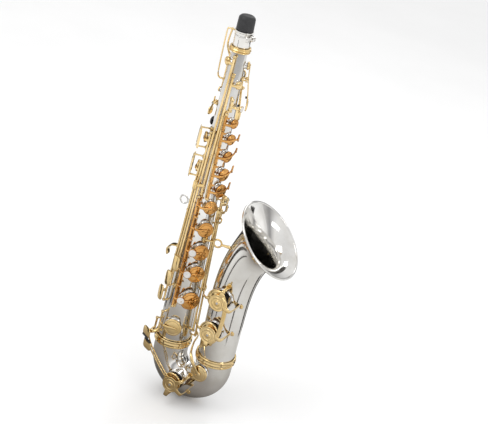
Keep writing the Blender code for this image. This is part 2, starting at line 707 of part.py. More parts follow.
def make_side_guards():
    """Curved shields that keep clothes off the side keys' cups at the back of the tube."""
    for name, angle, low, high in SIDE_GUARDS:
        out = outward(angle)
        rings = []
        for height in (low, high):
            spread = [angle + SIDE_GUARD_HALF * k / 3 for k in range(-3, 4)]
            top = [on_tube(height, turn, SIDE_GUARD_ABOVE + GUARD_THICK) for turn in spread]
            rings.append(top + [on_tube(height, turn, SIDE_GUARD_ABOVE) for turn in spread[::-1]])
        shapes = [skinned(rings)]
        for height, inset in ((low, 0.0016), (high, -0.0016)):
            sole = on_tube(height + inset, angle, 0.0017)
            leg = [sole, on_tube(height + inset, angle, SIDE_GUARD_ABOVE + GUARD_THICK / 2)]
            shapes += [strip(leg, 0.0080, GUARD_THICK, UP), plate(sole, out, UP, (0.0060, 0.0110), 0.0014)]
        fused(name, shapes, GOLD)


# ---------------------------------------------------------------- palm keys


def seesaw(name, angle, cup_height, radius, hinge_height, touch_low, touch_high, travel, finish):
    """A closed key that rocks on a crosswise rod: pressing its low end lifts its cup."""
    normal = outward(angle)
    across = around(angle)
    hinge = on_tube(hinge_height, angle, HINGE_ABOVE)
    seat = on_tube(cup_height, angle, CHIMNEY_TALL + PAD_GAP)
    shapes = [cup(seat, normal, radius + CUP_LIP, 14)]
    shapes.append(sleeve(hinge - across * PALM_HALF, hinge + across * PALM_HALF, start=normal))
    top = seat + normal * (CUP_TALL + 0.0004)
    arm = [top + UP * radius * 0.4, hinge + normal * 0.0022]
    shapes.append(strip(arm, [0.0034, 0.0046], ARM_THICK, normal))
    mid = (touch_low + touch_high) / 2
    spot = on_tube(mid, angle, 0.0165)
    shapes.append(strip([hinge + normal * 0.0022 + UP * 0.002, spot.lerp(hinge, 0.45) + normal * 0.002, spot],
                        [0.0046, 0.0050, 0.0080], 0.0020, normal))
    shapes.append(plate(spot, normal, UP, (touch_high - touch_low, 0.0130), 0.0024))
    lifting = 1.0 if across.cross(seat - hinge).dot(normal) > 0 else -1.0
    hinged(name, shapes, finish, hinge, across * lifting, travel)
    reach = across * (PALM_HALF + PIN_SPARE)
    pin = rod(hinge - reach, hinge + reach, ROD_R, 8)
    fused(name.replace("_key", "_pin"), [pin], STEEL)


def palm_posts():
    """Both bored posts of each palm key's crosswise pin, soldered to the tube."""
    for name, angle, cup_height, radius, hinge_height, *_ in PALM_KEYS:
        across = around(angle)
        hinge = on_tube(hinge_height, angle, HINGE_ABOVE)
        for side in (-1, 1):
            at = hinge + across * side * (PALM_HALF + POST_REACH)
            yield post(at, at - outward(angle) * (HINGE_ABOVE + 0.0022), across)


def make_palm_keys():
    for name, angle, cup_height, radius, hinge_height, touch_low, touch_high, travel in PALM_KEYS:
        seesaw(name, angle, cup_height, radius, hinge_height, touch_low, touch_high, travel, GOLD)


# ---------------------------------------------------------------- low keys


def bell_side(x, height, above=0.0):
    """A point on the player's right of the bell, bow or tube-side bow, this far off the metal."""
    if height >= BELL_LOW:
        low, high = 0.0, BELL_RUNS[-1]
        for _ in range(30):
            middle = (low + high) / 2
            centre, turn = bell_point(middle)
            ahead = Vector((math.sin(turn), 0, math.cos(turn)))
            if (place(x, 0, height) - centre).dot(ahead) > 0:
                low = middle
            else:
                high = middle
        centre, turn = bell_point(low)
        off = (place(x, 0, height) - centre).length
        radius = bell_radius(low)
    else:
        off = abs(math.hypot(x - BOW_X, min(height - BOW_HEIGHT, 0)) - BOW_RADIUS)
        share = math.atan2(min(height - BOW_HEIGHT, 0), x - BOW_X) / math.pi + 1
        radius = BOW_R_TUBE + (BOW_R_BELL - BOW_R_TUBE) * min(share, 1)
    return place(x, -(math.sqrt(radius ** 2 - off ** 2) + above), height)


def low_seat(name):
    """The pad's place over a chimney on the player's right, and the top of its cup."""
    row = next(row for row in LOW_CUPS if row[0] == name)
    seat = place(row[1], LOW_CHIMNEY_FACE[name] - PAD_GAP, row[2])
    return seat, seat + RIGHT * (CUP_TALL + 0.0004), row[3] + CUP_LIP


def route(points):
    return [place(*point) for point in points]


def make_table_key(name, arm, touch, travel, rest, closing):
    """A bell key on a long rod up the tube's front, with its touch in the left little finger's table."""
    hinge_angle, low, high = next(row[1:] for row in TABLE_RODS if row[0] == name)
    ends = on_tube(low, hinge_angle, HINGE_ABOVE), on_tube(high, hinge_angle, HINGE_ABOVE)
    axis = (ends[1] - ends[0]).normalized()
    seat, top, radius = low_seat(name)
    arm_height, knees = arm
    first = point_at(ends, low, high, arm_height)
    side = outward(hinge_angle)
    path = [first + side * 0.0010, *route(knees), top]
    faces = [side]
    for point in path[1:-2]:
        away = (point - place(0, point.y * 0.2, point.z + STRAP_HEIGHT)).normalized()
        faces.append(Vector((away.x, away.y, 0)))
    faces += [RIGHT] * (len(path) - len(faces))
    shapes = [rod(ends[0], ends[1], LONG_ROD_R, 8), cup(seat, RIGHT, radius)]
    shapes.append(strip(path, 0.0056, 0.0020, faces))
    plate_low, plate_high, plate_angle, plate_above, wide = touch
    middle = (plate_low + plate_high) / 2
    face = outward(plate_angle)
    spot = on_tube(middle, plate_angle, plate_above)
    shapes.append(plate(spot, face, UP, (plate_high - plate_low, wide), 0.0022))
    root = point_at(ends, low, high, middle)
    between = outward((hinge_angle + plate_angle) / 2)
    knee = on_tube(middle, (hinge_angle + plate_angle) / 2, plate_above - 0.001)
    shapes.append(strip([root + side * 0.0010, root.lerp(knee, 0.6) + side * 0.0030, knee, spot],
                        0.0056, 0.0020, [side, side, between, face]))
    hinged(name + "_key", shapes, GOLD, root, axis * closing, travel, rest)


def make_table_keys():
    arm = (0.186, ((0.0470, -0.0180, 0.186), (0.0580, -0.0345, 0.186), (0.0700, -0.0448, 0.186)))
    touch = (0.398, 0.4095, 38.0, 0.0170, 0.013)
    make_table_key("low_b", arm, touch, LOW_OPENING, -LOW_OPENING, 1.0)
    knees = ((0.0465, -0.0040, 0.2460), (0.0540, -0.0230, 0.2465),
             (0.0640, -0.0395, 0.2500), (0.0760, -0.0462, 0.2540))
    touch = (0.412, 0.4235, 41.0, 0.0170, 0.013)
    make_table_key("low_b_flat", (0.246, knees), touch, LOW_OPENING, -LOW_OPENING, 1.0)
    knees = ((0.0490, 0.0040, 0.1340), (0.0535, -0.0210, 0.1330),
             (0.0610, -0.0430, 0.1220), (0.0740, -0.0500, 0.1040))
    touch = (0.4265, 0.4375, -3.0, 0.0165, 0.014)
    make_table_key("low_c_sharp", (0.134, knees), touch, 7.5, 0.0, -1.0)


def make_low_c_key():
    low, high = LOW_C_HINGE
    ends = on_tube(low, LOW_C_ANGLE, HINGE_ABOVE), on_tube(high, LOW_C_ANGLE, HINGE_ABOVE)
    axis = (ends[1] - ends[0]).normalized()
    seat, top, radius = low_seat("low_c")
    side = outward(LOW_C_ANGLE)
    knees = ((-0.0350, -0.0400, 0.1210), (-0.0220, -0.0480, 0.1045),
             (0.0040, -0.0500, 0.0800), (0.0260, -0.0485, 0.0590))
    path = [ends[0] + axis * 0.005 + side * 0.0010, *route(knees), top]
    faces = [side, outward(-125), outward(-105), RIGHT, RIGHT, RIGHT]
    shapes = [rod(ends[0], ends[1], LONG_ROD_R, 8), cup(seat, RIGHT, radius),
              strip(path, [0.0050, 0.0060, 0.0075, 0.0075, 0.0070, 0.0050], 0.0022, faces)]
    spot = place(-0.0275, -0.0480, 0.1010)
    face = outward(-112)
    shapes.append(plate(spot, face, UP, (0.0205, 0.0255), 0.0024))
    hinged("low_c_key", shapes, GOLD, ends[0], axis, 6.0, -6.0)


def make_low_e_flat_key():
    low, high = LOW_E_FLAT_HINGE
    height, cup_angle, radius = LOW_E_FLAT_CUP
    ends = on_tube(low, LOW_E_FLAT_ANGLE, HINGE_ABOVE), on_tube(high, LOW_E_FLAT_ANGLE, HINGE_ABOVE)
    axis = (ends[1] - ends[0]).normalized()
    normal = outward(cup_angle)
    side = outward(LOW_E_FLAT_ANGLE)
    seat = on_tube(height, cup_angle, CHIMNEY_TALL + PAD_GAP)
    top = seat + normal * (CUP_TALL + 0.0004)
    at_cup = point_at(ends, low, high, height)
    arch = on_tube(height, (cup_angle + LOW_E_FLAT_ANGLE) / 2, 0.0125)
    shapes = [rod(ends[0], ends[1], LONG_ROD_R, 8), cup(seat, normal, radius + CUP_LIP)]
    shapes.append(strip([at_cup + side * 0.0010, arch, top, top + around(cup_angle) * radius * 0.5],
                        [0.0046, 0.0056, 0.0050, 0.0030], 0.0020, [side, outward(-98), normal, normal]))
    spot = place(-0.0372, -0.0455, 0.1262)
    face = outward(-122)
    root = ends[0] + axis * 0.003
    shapes.append(plate(spot, face, UP, (0.0210, 0.0250), 0.0024))
    neck = [root + side * 0.0010, place(-0.0250, -0.0440, 0.1320), spot + UP * 0.003]
    shapes.append(strip(neck, 0.0060, 0.0022, [side, side, face]))
    hinged("low_e_flat_key", shapes, GOLD, at_cup, -axis, 7.0)


# ---------------------------------------------------------------- G sharp, front F and octave


def make_g_sharp():
    """The sprung cup on the lower stack's rod, and the touch whose lever frees it."""
    line = stack_line(LOWER_HINGE, *LOWER_POSTS)
    height, angle, radius = G_SHARP_CUP
    make_stack_key("g_sharp_key", height, radius, angle, LOWER_HINGE, line, LOWER_POSTS, (0.3965, 0.4292),
                   G_SHARP_TRAVEL, None, None, None, AMBER, closed=True)
    low, high = G_SHARP_HINGE
    ends = on_tube(low, G_SHARP_ANGLE, HINGE_ABOVE), on_tube(high, G_SHARP_ANGLE, HINGE_ABOVE)
    axis = (ends[1] - ends[0]).normalized()
    side = outward(G_SHARP_ANGLE)
    middle = (low + high) / 2
    root = point_at(ends, low, high, middle)
    lever = [root + side * 0.0010, on_tube(0.3835, 18.0, 0.0145), on_tube(0.3840, -4.0, 0.0150),
             on_tube(0.3900, -22.0, 0.0135)]
    faces = [side, outward(18), outward(-4), outward(-22)]
    shapes = [rod(ends[0], ends[1], LONG_ROD_R, 8), strip(lever, 0.0046, 0.0018, faces)]
    spot = on_tube(0.3860, 59.0, 0.0160)
    face = outward(59)
    shapes.append(strip([root + side * 0.0010, on_tube(0.3850, 48.0, 0.0140), spot], 0.0060, 0.0020,
                        [side, outward(48), face]))
    shapes.append(plate(spot, face, UP, (0.0190, 0.0150), 0.0022))
    hinged("g_sharp_touch", shapes, GOLD, root, axis, G_SHARP_TRAVEL)


def make_front_f():
    low, high = FRONT_F_HINGE
    ends = on_tube(low, FRONT_F_ANGLE, HINGE_ABOVE), on_tube(high, FRONT_F_ANGLE, HINGE_ABOVE)
    axis = (ends[1] - ends[0]).normalized()
    side = outward(FRONT_F_ANGLE)
    face = outward(-6.0)
    spot = on_tube(0.6120, -6.0, 0.0135)
    root = ends[0].lerp(ends[1], 0.4)
    arm = [root + side * 0.0010, on_tube(0.6140, -30.0, 0.0115), spot - face * 0.0018]
    shapes = [rod(ends[0], ends[1], LONG_ROD_R, 8), strip(arm, 0.0044, ARM_THICK, [side, outward(-30), face]),
              button(spot - face * PEARL_TALL, face, 0.0062, PEARL_TALL + 0.0006)]
    hinged("front_f_key", shapes, GOLD, root, -axis, 7.0)


def make_octave():
    out, across = outward(180.0), around(180.0)
    hinge = on_tube(OCTAVE_HINGE, 180.0, OCTAVE_ABOVE)
    spot = on_tube(0.5880, 180.0, 0.0115)
    arm = [hinge + out * 0.0022 + UP * 0.0095, hinge + out * 0.0022, spot]
    shapes = [sleeve(hinge - across * PALM_HALF, hinge + across * PALM_HALF, start=out),
              strip(arm, [0.004, 0.005, 0.010], 0.0018, out), plate(spot, out, UP, (0.0150, 0.0170), 0.0022)]
    hinged("octave_lever", shapes, GOLD, hinge, across, 8.0)
    reach = across * (PALM_HALF + PIN_SPARE)
    fused("octave_pin", [rod(hinge - reach, hinge + reach, ROD_R, 8)], STEEL)
    height, angle, radius = OCTAVE_VENT
    low, high = OCTAVE_ROD
    ends = on_tube(low, OCTAVE_ANGLE, HINGE_ABOVE + 0.001), on_tube(high, OCTAVE_ANGLE, HINGE_ABOVE + 0.001)
    axis = (ends[1] - ends[0]).normalized()
    side = outward(OCTAVE_ANGLE)
    normal = outward(angle)
    seat = on_tube(height, angle, CHIMNEY_TALL + PAD_GAP)
    at_cup = point_at(ends, low, high, height)
    top = seat + normal * (CUP_TALL * 0.7)
    upper = ends[1] - axis * 0.004
    loop = [upper + side * 0.0010, upper + side * 0.0050 + UP * 0.004, place(-0.0265, 0.0020, 0.7200),
            place(-0.0235, 0.0020, 0.7480)]
    between = (angle + OCTAVE_ANGLE) / 2
    pip = radius + 0.001
    profile = ((pip, 0), (pip, CUP_TALL * 0.5), (0.0012, CUP_TALL * 0.8), (0, CUP_TALL * 0.8))
    arm = [at_cup + side * 0.0010, on_tube(height, between, 0.0095), top]
    shapes = [rod(ends[0], ends[1], LONG_ROD_R, 8), turned(profile, seat, normal, 10),
              strip(arm, 0.0036, 0.0016, [side, outward(between), normal]),
              strip(loop, 0.0042, 0.0024, [side, side, out, out])]
    lifting = 1.0 if axis.cross(seat - at_cup).dot(normal) > 0 else -1.0
    hinged("octave_vent_key", shapes, GOLD, at_cup, axis * lifting, 8.0)


def octave_posts():
    across = around(180.0)
    hinge = on_tube(OCTAVE_HINGE, 180.0, OCTAVE_ABOVE)
    for side in (-1, 1):
        at = hinge + across * side * (PALM_HALF + POST_REACH)
        yield post(at, at - outward(180.0) * (OCTAVE_ABOVE + 0.0020), across)


def make_octave_guard():
    """The frame that stands behind the receiver and shields the octave pin."""
    angle = -166.0
    out = outward(angle)
    foot = on_tube(0.655, angle, 0.0)
    top = place(0, 0, 0.7485)
    path = [foot + out * 0.0016, foot + out * 0.0120 + UP * 0.004, place(0, 0, 0.684) + out * 0.0300,
            place(0, 0, 0.742) + out * 0.0300, top + out * 0.0270, top + out * 0.0176]
    faces = [UP, (UP - out).normalized(), out, out, (UP + out).normalized(), UP]
    base = plate(foot + out * 0.0018, out, UP, (0.014, 0.009), 0.0016)
    fused("octave_guard", [base, strip(path, 0.0044, 0.0020, faces)], GOLD)


# ---------------------------------------------------------------- guards, brace and bow plate


def legged_guard(name, discs, feet, edge):
    """Flat discs over key cups, legs to the metal, and a bar along the discs' outer side."""
    shapes = [turned(((r, 0), (r, GUARD_THICK)), centre, RIGHT, 20, UP) for centre, r in discs]
    for disc_index, x, height in feet:
        centre, radius = discs[disc_index]
        surface = bell_side(x, height, 0.0030)
        flat = Vector((surface.x - centre.x, 0, surface.z - centre.z)).normalized()
        edge_point = centre + flat * (radius - 0.0020) + RIGHT * 0.0008
        bend = Vector((surface.x, edge_point.y, surface.z)) - flat * 0.003
        path = [edge_point, bend, bend.lerp(surface, 0.45) + flat * 0.003, surface + flat * 0.0005]
        faces = [RIGHT, (RIGHT + flat).normalized(), flat, (RIGHT * 0.3 + flat).normalized()]
        shapes.append(strip(path, [0.0070, 0.0060, 0.0055, 0.0080], GUARD_THICK, faces))
    if edge:
        path = [place(x, 0, height) + RIGHT * (place(0, 0, 0) - discs[0][0]).y for x, height in edge]
        path = [point + RIGHT * GUARD_THICK / 2 for point in path]
        shapes.append(strip(path, 0.0085, GUARD_THICK, RIGHT))
    fused(name, shapes, GOLD)


def make_guards():
    over = {}
    for name, *_ in LOW_CUPS:
        seat, top, radius = low_seat(name)
        over[name] = top + RIGHT * GUARD_LIFT
    over["low_b_flat"].y = over["low_b"].y
    discs = [(over["low_b"], 0.0175), (over["low_b_flat"], 0.0170)]
    feet = [(0, 0.0915, 0.1585), (0, 0.1215, 0.1870), (1, 0.1250, 0.2500), (1, 0.1020, 0.2870)]
    legged_guard("bell_key_guard", discs, feet, BELL_GUARD_EDGE)
    feet = [(0, 0.0340, 0.0150), (0, 0.0680, 0.0330), (0, 0.0640, 0.0640)]
    legged_guard("low_c_guard", [(over["low_c"], 0.0165)], feet, ())


def make_bell_brace():
    """A ring between tube and bell with a strut to each."""
    height = 0.3455
    foot_angle = -30.0
    foot = on_tube(height, foot_angle, 0.0020)
    ring_centre = place(0.0480, -0.0080, height)
    ring = turned(hexagon(0.0018, 0.0078), ring_centre, Vector((0.15, -1, 0)), 16, UP, loop=True)
    plate_tube = plate(foot, outward(foot_angle), UP, (0.0120, 0.0100), 0.0018)
    near = strip([foot, ring_centre - Vector((0.0078, 0, 0))], 0.0050, 0.0040, UP)
    end = None
    for step in range(200):
        x = 0.0560 + step * 0.0001
        probe = place(x, 0, height)
        if bell_distance(probe) < 0.0012:
            break
        end = probe
    end = Vector((end.x, -0.0040, end.z))
    far = strip([ring_centre + Vector((0.0078, 0, 0)), end], [0.0050, 0.0100], 0.0040, UP)
    fused("bell_brace", [ring, near, far, plate_tube], GOLD)


def bell_distance(point):
    """How far a point in the middle plane is from the outside of the bell."""
    best = 1.0
    for step in range(120):
        run = BELL_RUNS[-1] * step / 119
        centre, turn = bell_point(run)
        best = min(best, (point - centre).length - bell_radius(run))
    return best


def make_bow_guard():
    """A flat plate under the bow's outer curve."""
    reach = BOW_RADIUS + BOW_R_BELL + 0.0010
    path, faces = [], []
    for step in range(9):
        turn = math.radians(222 + 78 * step / 8)
        out = Vector((math.cos(turn), 0, math.sin(turn)))
        path.append(place(BOW_X, 0, BOW_HEIGHT) + out * reach)
        faces.append(out)
    fused("bow_guard", [strip(path, 0.0150, 0.0012, faces)], GOLD)


for old in list(bpy.data.objects):
    bpy.data.objects.remove(old)

make_body_tube()
make_bow()
make_bell()
collar("body_bow_ring", 0.0, TUBE_R_LOW, 0.1050, 0.1195, GOLD)
collar("bell_bow_ring", 2 * BOW_X, BELL_R, 0.1050, 0.1195, GOLD)
make_receiver()
make_plug()
make_strap_ring()
make_thumb_pieces()
make_stack("upper_stack", UPPER_STACK, UPPER_CUP, UPPER_HINGE, UPPER_POSTS, GOLD, AMBER)
make_stack("lower_stack", LOWER_STACK, LOWER_CUP, LOWER_HINGE, LOWER_POSTS, GOLD, AMBER)
make_side_keys()
make_side_guards()
make_palm_keys()
make_g_sharp()
make_table_keys()
make_low_c_key()
make_low_e_flat_key()
make_front_f()
make_octave()
make_octave_guard()
make_guards()
make_bell_brace()
make_bow_guard()
collar("receiver_band", 0.0, RECEIVER_R, 0.7130, 0.7225, GOLD)
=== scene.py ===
"""Looks of the tenor saxophone body: fine metalwork, pads, pearls, springs and finishes round the frame.

Metres and degrees, in the frame of the CAD model: the strap ring is the origin, +Z runs up the body tube,
+X points from the tube to the bell. Heights are measured from the bottom of the bow.
"""

import json
import math

import bmesh
import bpy
from mathutils import Matrix, Vector


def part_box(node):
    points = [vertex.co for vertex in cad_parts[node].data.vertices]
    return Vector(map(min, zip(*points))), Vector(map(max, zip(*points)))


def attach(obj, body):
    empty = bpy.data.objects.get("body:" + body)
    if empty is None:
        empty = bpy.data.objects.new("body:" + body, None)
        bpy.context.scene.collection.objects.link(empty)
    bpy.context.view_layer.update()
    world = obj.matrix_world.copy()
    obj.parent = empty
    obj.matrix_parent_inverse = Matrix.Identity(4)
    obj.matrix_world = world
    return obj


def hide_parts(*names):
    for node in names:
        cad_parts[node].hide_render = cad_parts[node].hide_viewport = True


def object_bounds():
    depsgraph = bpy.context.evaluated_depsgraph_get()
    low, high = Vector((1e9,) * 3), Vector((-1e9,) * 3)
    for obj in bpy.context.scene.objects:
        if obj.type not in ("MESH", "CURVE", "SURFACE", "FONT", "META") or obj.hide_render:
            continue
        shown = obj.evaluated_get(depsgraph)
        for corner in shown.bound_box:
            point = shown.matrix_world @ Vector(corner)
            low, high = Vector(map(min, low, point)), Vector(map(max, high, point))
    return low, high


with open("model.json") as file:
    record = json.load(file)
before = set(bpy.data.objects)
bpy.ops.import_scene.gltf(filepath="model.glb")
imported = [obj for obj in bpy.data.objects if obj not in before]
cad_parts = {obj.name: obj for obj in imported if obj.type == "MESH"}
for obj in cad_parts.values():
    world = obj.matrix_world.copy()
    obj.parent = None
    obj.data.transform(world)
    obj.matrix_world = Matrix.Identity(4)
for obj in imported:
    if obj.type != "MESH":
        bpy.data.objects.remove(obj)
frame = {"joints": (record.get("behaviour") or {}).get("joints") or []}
cad_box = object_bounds()
joints = {joint["child"]: joint for joint in frame["joints"]}

# ---------------------------------------------------------------- driving dimensions, as in the CAD

STRAP_HEIGHT, STRAP_BACK = 0.400, 0.042
TUBE_LOW, TUBE_TOP = 0.1124, 0.7116
TUBE_R_LOW, TUBE_R_TOP = 0.0336, 0.0143
BOW_X, BOW_HEIGHT, BOW_RADIUS = 0.048, 0.0845, 0.048
BOW_R_TUBE, BOW_R_BELL, BOW_TOP = 0.0336, 0.0360, 0.1118
BELL_LOW, BELL_R, BELL_SWELL, BELL_FLARE = 0.1124, 0.0360, 0.0075, 0.0330
BELL_STRAIGHT, BELL_CURVED, BELL_BEND = 0.088, 0.202, 43.0
BELL_LENGTH = BELL_STRAIGHT + BELL_CURVED
RIM_WIRE, TUBE_WALL, BOW_WALL = 0.0022, 0.0009, 0.0010
RECEIVER_LOW, RECEIVER_TOP, RECEIVER_R, RECEIVER_BORE = 0.7120, 0.7520, 0.0158, 0.0132
PLUG_R, PLUG_TALL, PLUG_STEM_R, PLUG_STEM = 0.0158, 0.028, 0.0127, 0.022
CHIMNEY_TALL, PAD_GAP, CUP_TALL, CUP_LIP = 0.0036, 0.0004, 0.0044, 0.0013
HINGE_ABOVE, SLEEVE_R, LONG_SLEEVE_R, ROD_R = 0.0080, 0.0025, 0.0023, 0.0011
POST_BALL, PEARL_TALL, PALM_HALF = 0.0033, 0.0030, 0.0040
CLAMP_ANGLE, CLAMP_REACH = -8.0, 0.0200

# name, height, chimney radius, hinge tube from, to, touch angle, touch height, touch radius
UPPER_STACK = (
    ("small_c_key", 0.582, 0.0080, 0.5690, 0.5980, None, None, None),
    ("b_key", 0.551, 0.0092, 0.5375, 0.5680, 21.0, 0.553, 0.0072),
    ("bis_key", 0.517, 0.0098, 0.5035, 0.5365, 23.0, 0.528, 0.0048),
    ("a_key", 0.481, 0.0112, 0.4665, 0.5025, 22.0, 0.490, 0.0074),
    ("g_key", 0.448, 0.0122, 0.4345, 0.4655, 21.0, 0.456, 0.0074),
)
UPPER_CUP, UPPER_HINGE, UPPER_POSTS = -14.0, -62.0, (0.4325, 0.6000)
LOWER_STACK = (
    ("f_sharp_key", 0.369, 0.0140, 0.3485, 0.3950, None, None, None),
    ("f_key", 0.321, 0.0150, 0.3020, 0.3475, -67.0, 0.322, 0.0080),
    ("e_key", 0.275, 0.0160, 0.2500, 0.3010, -68.0, 0.276, 0.0080),
    ("d_key", 0.217, 0.0172, 0.2010, 0.2490, -69.0, 0.219, 0.0080),
)
LOWER_CUP, LOWER_HINGE, LOWER_POSTS = -42.0, -91.0, (0.1990, 0.4320)
G_SHARP = ("g_sharp_key", 0.414, 0.0122, 0.3965, 0.4292, None, None, None)

# name, hinge angle low and high, low end, high end, cup angle, cup height, chimney radius, touch low, high
SIDE_KEYS = (
    ("side_e_key", -108.4, -84.0, 0.2740, 0.7050, -126.0, 0.694, 0.0066, 0.2800, 0.3120),
    ("side_c_key", -118.5, -106.5, 0.2380, 0.5560, -150.0, 0.541, 0.0092, 0.2430, 0.2755),
    ("side_b_flat_key", -129.5, -121.5, 0.2010, 0.4950, -162.0, 0.480, 0.0102, 0.2060, 0.2385),
)
SIDE_TOUCH_TURN, SIDE_TOUCH_ABOVE, SIDE_TOUCH_WIDE = 10.0, 0.0245, 0.0140
SIDE_GUARDS = (("side_c_guard", -150.0, 0.5190, 0.5600), ("side_b_flat_guard", -162.0, 0.4580, 0.5020))
SIDE_GUARD_ABOVE, SIDE_GUARD_HALF, GUARD_THICK, GUARD_LIFT = 0.0180, 20.0, 0.0016, 0.0145
BELL_GUARD_EDGE = ((0.0985, 0.1710), (0.1075, 0.1820), (0.1120, 0.2000), (0.1135, 0.2220), (0.1135, 0.2450),
                   (0.1100, 0.2640), (0.1020, 0.2740))
HIGH_F_SHARP = ("high_f_sharp_key", -85.5, -70.0, 0.4420, 0.6700, -34.0, 0.656, 0.0062, 0.446, 0.466)

# name, angle, cup height, chimney radius, hinge height, touch low, touch high
PALM_KEYS = (
    ("palm_f_key", 22.0, 0.690, 0.0064, 0.6640, 0.606, 0.628),
    ("palm_e_flat_key", 72.0, 0.668, 0.0072, 0.6420, 0.574, 0.600),
    ("palm_d_key", 122.0, 0.646, 0.0080, 0.6180, 0.548, 0.580),
)

# name, x, height, chimney radius, face
LOW_CUPS = {
    "low_c": (0.040, 0.046, 0.0180, -0.0385),
    "low_c_sharp": (0.086, 0.0855, 0.0160, -0.0395),
    "low_b": (0.092, 0.186, 0.0190, -0.0400),
    "low_b_flat": (0.095, 0.258, 0.0195, -0.0415),
}
LOW_E_FLAT = (0.153, -76.0, 0.0165)
OCTAVE_VENT = (0.632, 176.0, 0.0036)
TABLE_RODS = {"low_b": (-9.0, 0.1500, 0.4100), "low_b_flat": (6.0, 0.2360, 0.4240),
              "low_c_sharp": (21.0, 0.1280, 0.4380)}
LOW_C_HINGE, LOW_C_ANGLE = (0.1270, 0.1500), -141.0
LOW_E_FLAT_HINGE, LOW_E_FLAT_ANGLE = (0.1340, 0.1740), -119.0
G_SHARP_HINGE, G_SHARP_ANGLE = (0.3720, 0.3940), 37.0
FRONT_F_HINGE, FRONT_F_ANGLE = (0.6100, 0.6270), -50.0
OCTAVE_HINGE, OCTAVE_ABOVE, OCTAVE_ROD, OCTAVE_ANGLE = 0.6060, 0.0070, (0.6240, 0.7000), 152.0
OCTAVE_GUARD_ANGLE, BRACE_ANGLE, BRACE_HEIGHT = -166.0, -30.0, 0.3455
THUMB_REST_HEIGHT, THUMB_HOOK_HEIGHT, THUMB_HOOK_PLATE = 0.571, 0.292, (0.2720, 0.3120)

UP, FORWARD = Vector((0, 0, 1)), Vector((1, 0, 0))
RIGHT, SIDE = Vector((0, -1, 0)), Vector((0, 1, 0))
BACK = 180.0                # angle round the tube that looks away from the bell
FINE = 72                   # sides of a large round form
SHARP_ANGLE = 38            # edges sharper than this stay crisp


def tube_radius(height):
    share = (height - TUBE_LOW) / (TUBE_TOP - TUBE_LOW)
    return TUBE_R_LOW + share * (TUBE_R_TOP - TUBE_R_LOW)


def place(x, y, height):
    return Vector((x + STRAP_BACK, y, height - STRAP_HEIGHT))


def outward(angle):
    turn = math.radians(angle)
    return Vector((math.cos(turn), math.sin(turn), 0))


def around(angle):
    turn = math.radians(angle)
    return Vector((-math.sin(turn), math.cos(turn), 0))


def on_tube(height, angle, above=0.0):
    return place(0, 0, height) + outward(angle) * (tube_radius(height) + above)


def bell_line(run):
    """A point of the bell's centre line and the angle by which the line leans forward there."""
    x, height = 2 * BOW_X, BELL_LOW + min(run, BELL_STRAIGHT)
    past = max(run - BELL_STRAIGHT, 0.0)
    steps = 60
    for k in range(steps):
        turn = math.radians(BELL_BEND) * ((k + 0.5) * past / steps / BELL_CURVED) ** 2
        x += math.sin(turn) * past / steps
        height += math.cos(turn) * past / steps
    return place(x, 0, height), math.radians(BELL_BEND) * (past / BELL_CURVED) ** 2


def bell_radius(run):
    flare = BELL_FLARE * math.exp((run - BELL_LENGTH) / 0.0145)
    return BELL_R + BELL_SWELL * (run / BELL_LENGTH) ** 2 + flare


def bell_side(x, height, above=0.0):
    """A point on the player's right of the bell or the bow, this far off the metal."""
    if height >= BELL_LOW:
        low, high = 0.0, BELL_LENGTH
        for _ in range(24):
            middle = (low + high) / 2
            centre, turn = bell_line(middle)
            if (place(x, 0, height) - centre).dot(Vector((math.sin(turn), 0, math.cos(turn)))) > 0:
                low = middle
            else:
                high = middle
        off, radius = (place(x, 0, height) - bell_line(low)[0]).length, bell_radius(low)
    else:
        off = abs(math.hypot(x - BOW_X, min(height - BOW_HEIGHT, 0)) - BOW_RADIUS)
        share = math.atan2(min(height - BOW_HEIGHT, 0), x - BOW_X) / math.pi + 1
        radius = BOW_R_TUBE + (BOW_R_BELL - BOW_R_TUBE) * min(share, 1)
    return place(x, -(math.sqrt(max(radius ** 2 - off ** 2, 0)) + above), height)


# ---------------------------------------------------------------- shells: (points, faces)


def skinned(rings, loop=False, caps=True):
    points, faces, starts = [], [], []
    for ring in rings:
        starts.append(len(points))
        points.extend(ring)
    count = len(rings)
    for index in range(count if loop else count - 1):
        low, high = rings[index], rings[(index + 1) % count]
        a, b = starts[index], starts[(index + 1) % count]
        sides = max(len(low), len(high))
        for k in range(sides):
            n = (k + 1) % sides
            if len(low) == 1:
                faces.append((a, b + k, b + n))
            elif len(high) == 1:
                faces.append((a + k, a + n, b))
            else:
                faces.append((a + k, a + n, b + n, b + k))
    if caps and not loop:
        for ring, start in ((rings[0], starts[0]), (rings[-1], starts[-1])):
            if len(ring) > 1:
                faces.append(tuple(range(start, start + len(ring))))
    return points, faces


def circle(centre, first, second, radius, sides):
    if radius == 0:
        return [centre]
    step = 2 * math.pi / sides
    return [centre + radius * (math.cos(step * k) * first + math.sin(step * k) * second)
            for k in range(sides)]


def lathe(profile, base, axis, sides=40, loop=False, start=None):
    axis = axis.normalized()
    first = start if start else axis.orthogonal()
    first = (first - axis * first.dot(axis)).normalized()
    second = axis.cross(first)
    return skinned([circle(base + axis * along, first, second, r, sides) for r, along in profile], loop)


def rounded(profile, radius, steps=3, loop=False):
    """The same outline with its corners turned into short arcs."""
    made = []
    count = len(profile)
    for index, point in enumerate(profile):
        if not loop and index in (0, count - 1):
            made.append(point)
            continue
        here = Vector(point)
        before, after = Vector(profile[index - 1]), Vector(profile[(index + 1) % count])
        reach = min(radius, (before - here).length * 0.45, (after - here).length * 0.45)
        start = here + (before - here).normalized() * reach
        end = here + (after - here).normalized() * reach
        for k in range(steps + 1):
            t = k / steps
            made.append(tuple(start * (1 - t) ** 2 + here * 2 * t * (1 - t) + end * t ** 2))
    return made


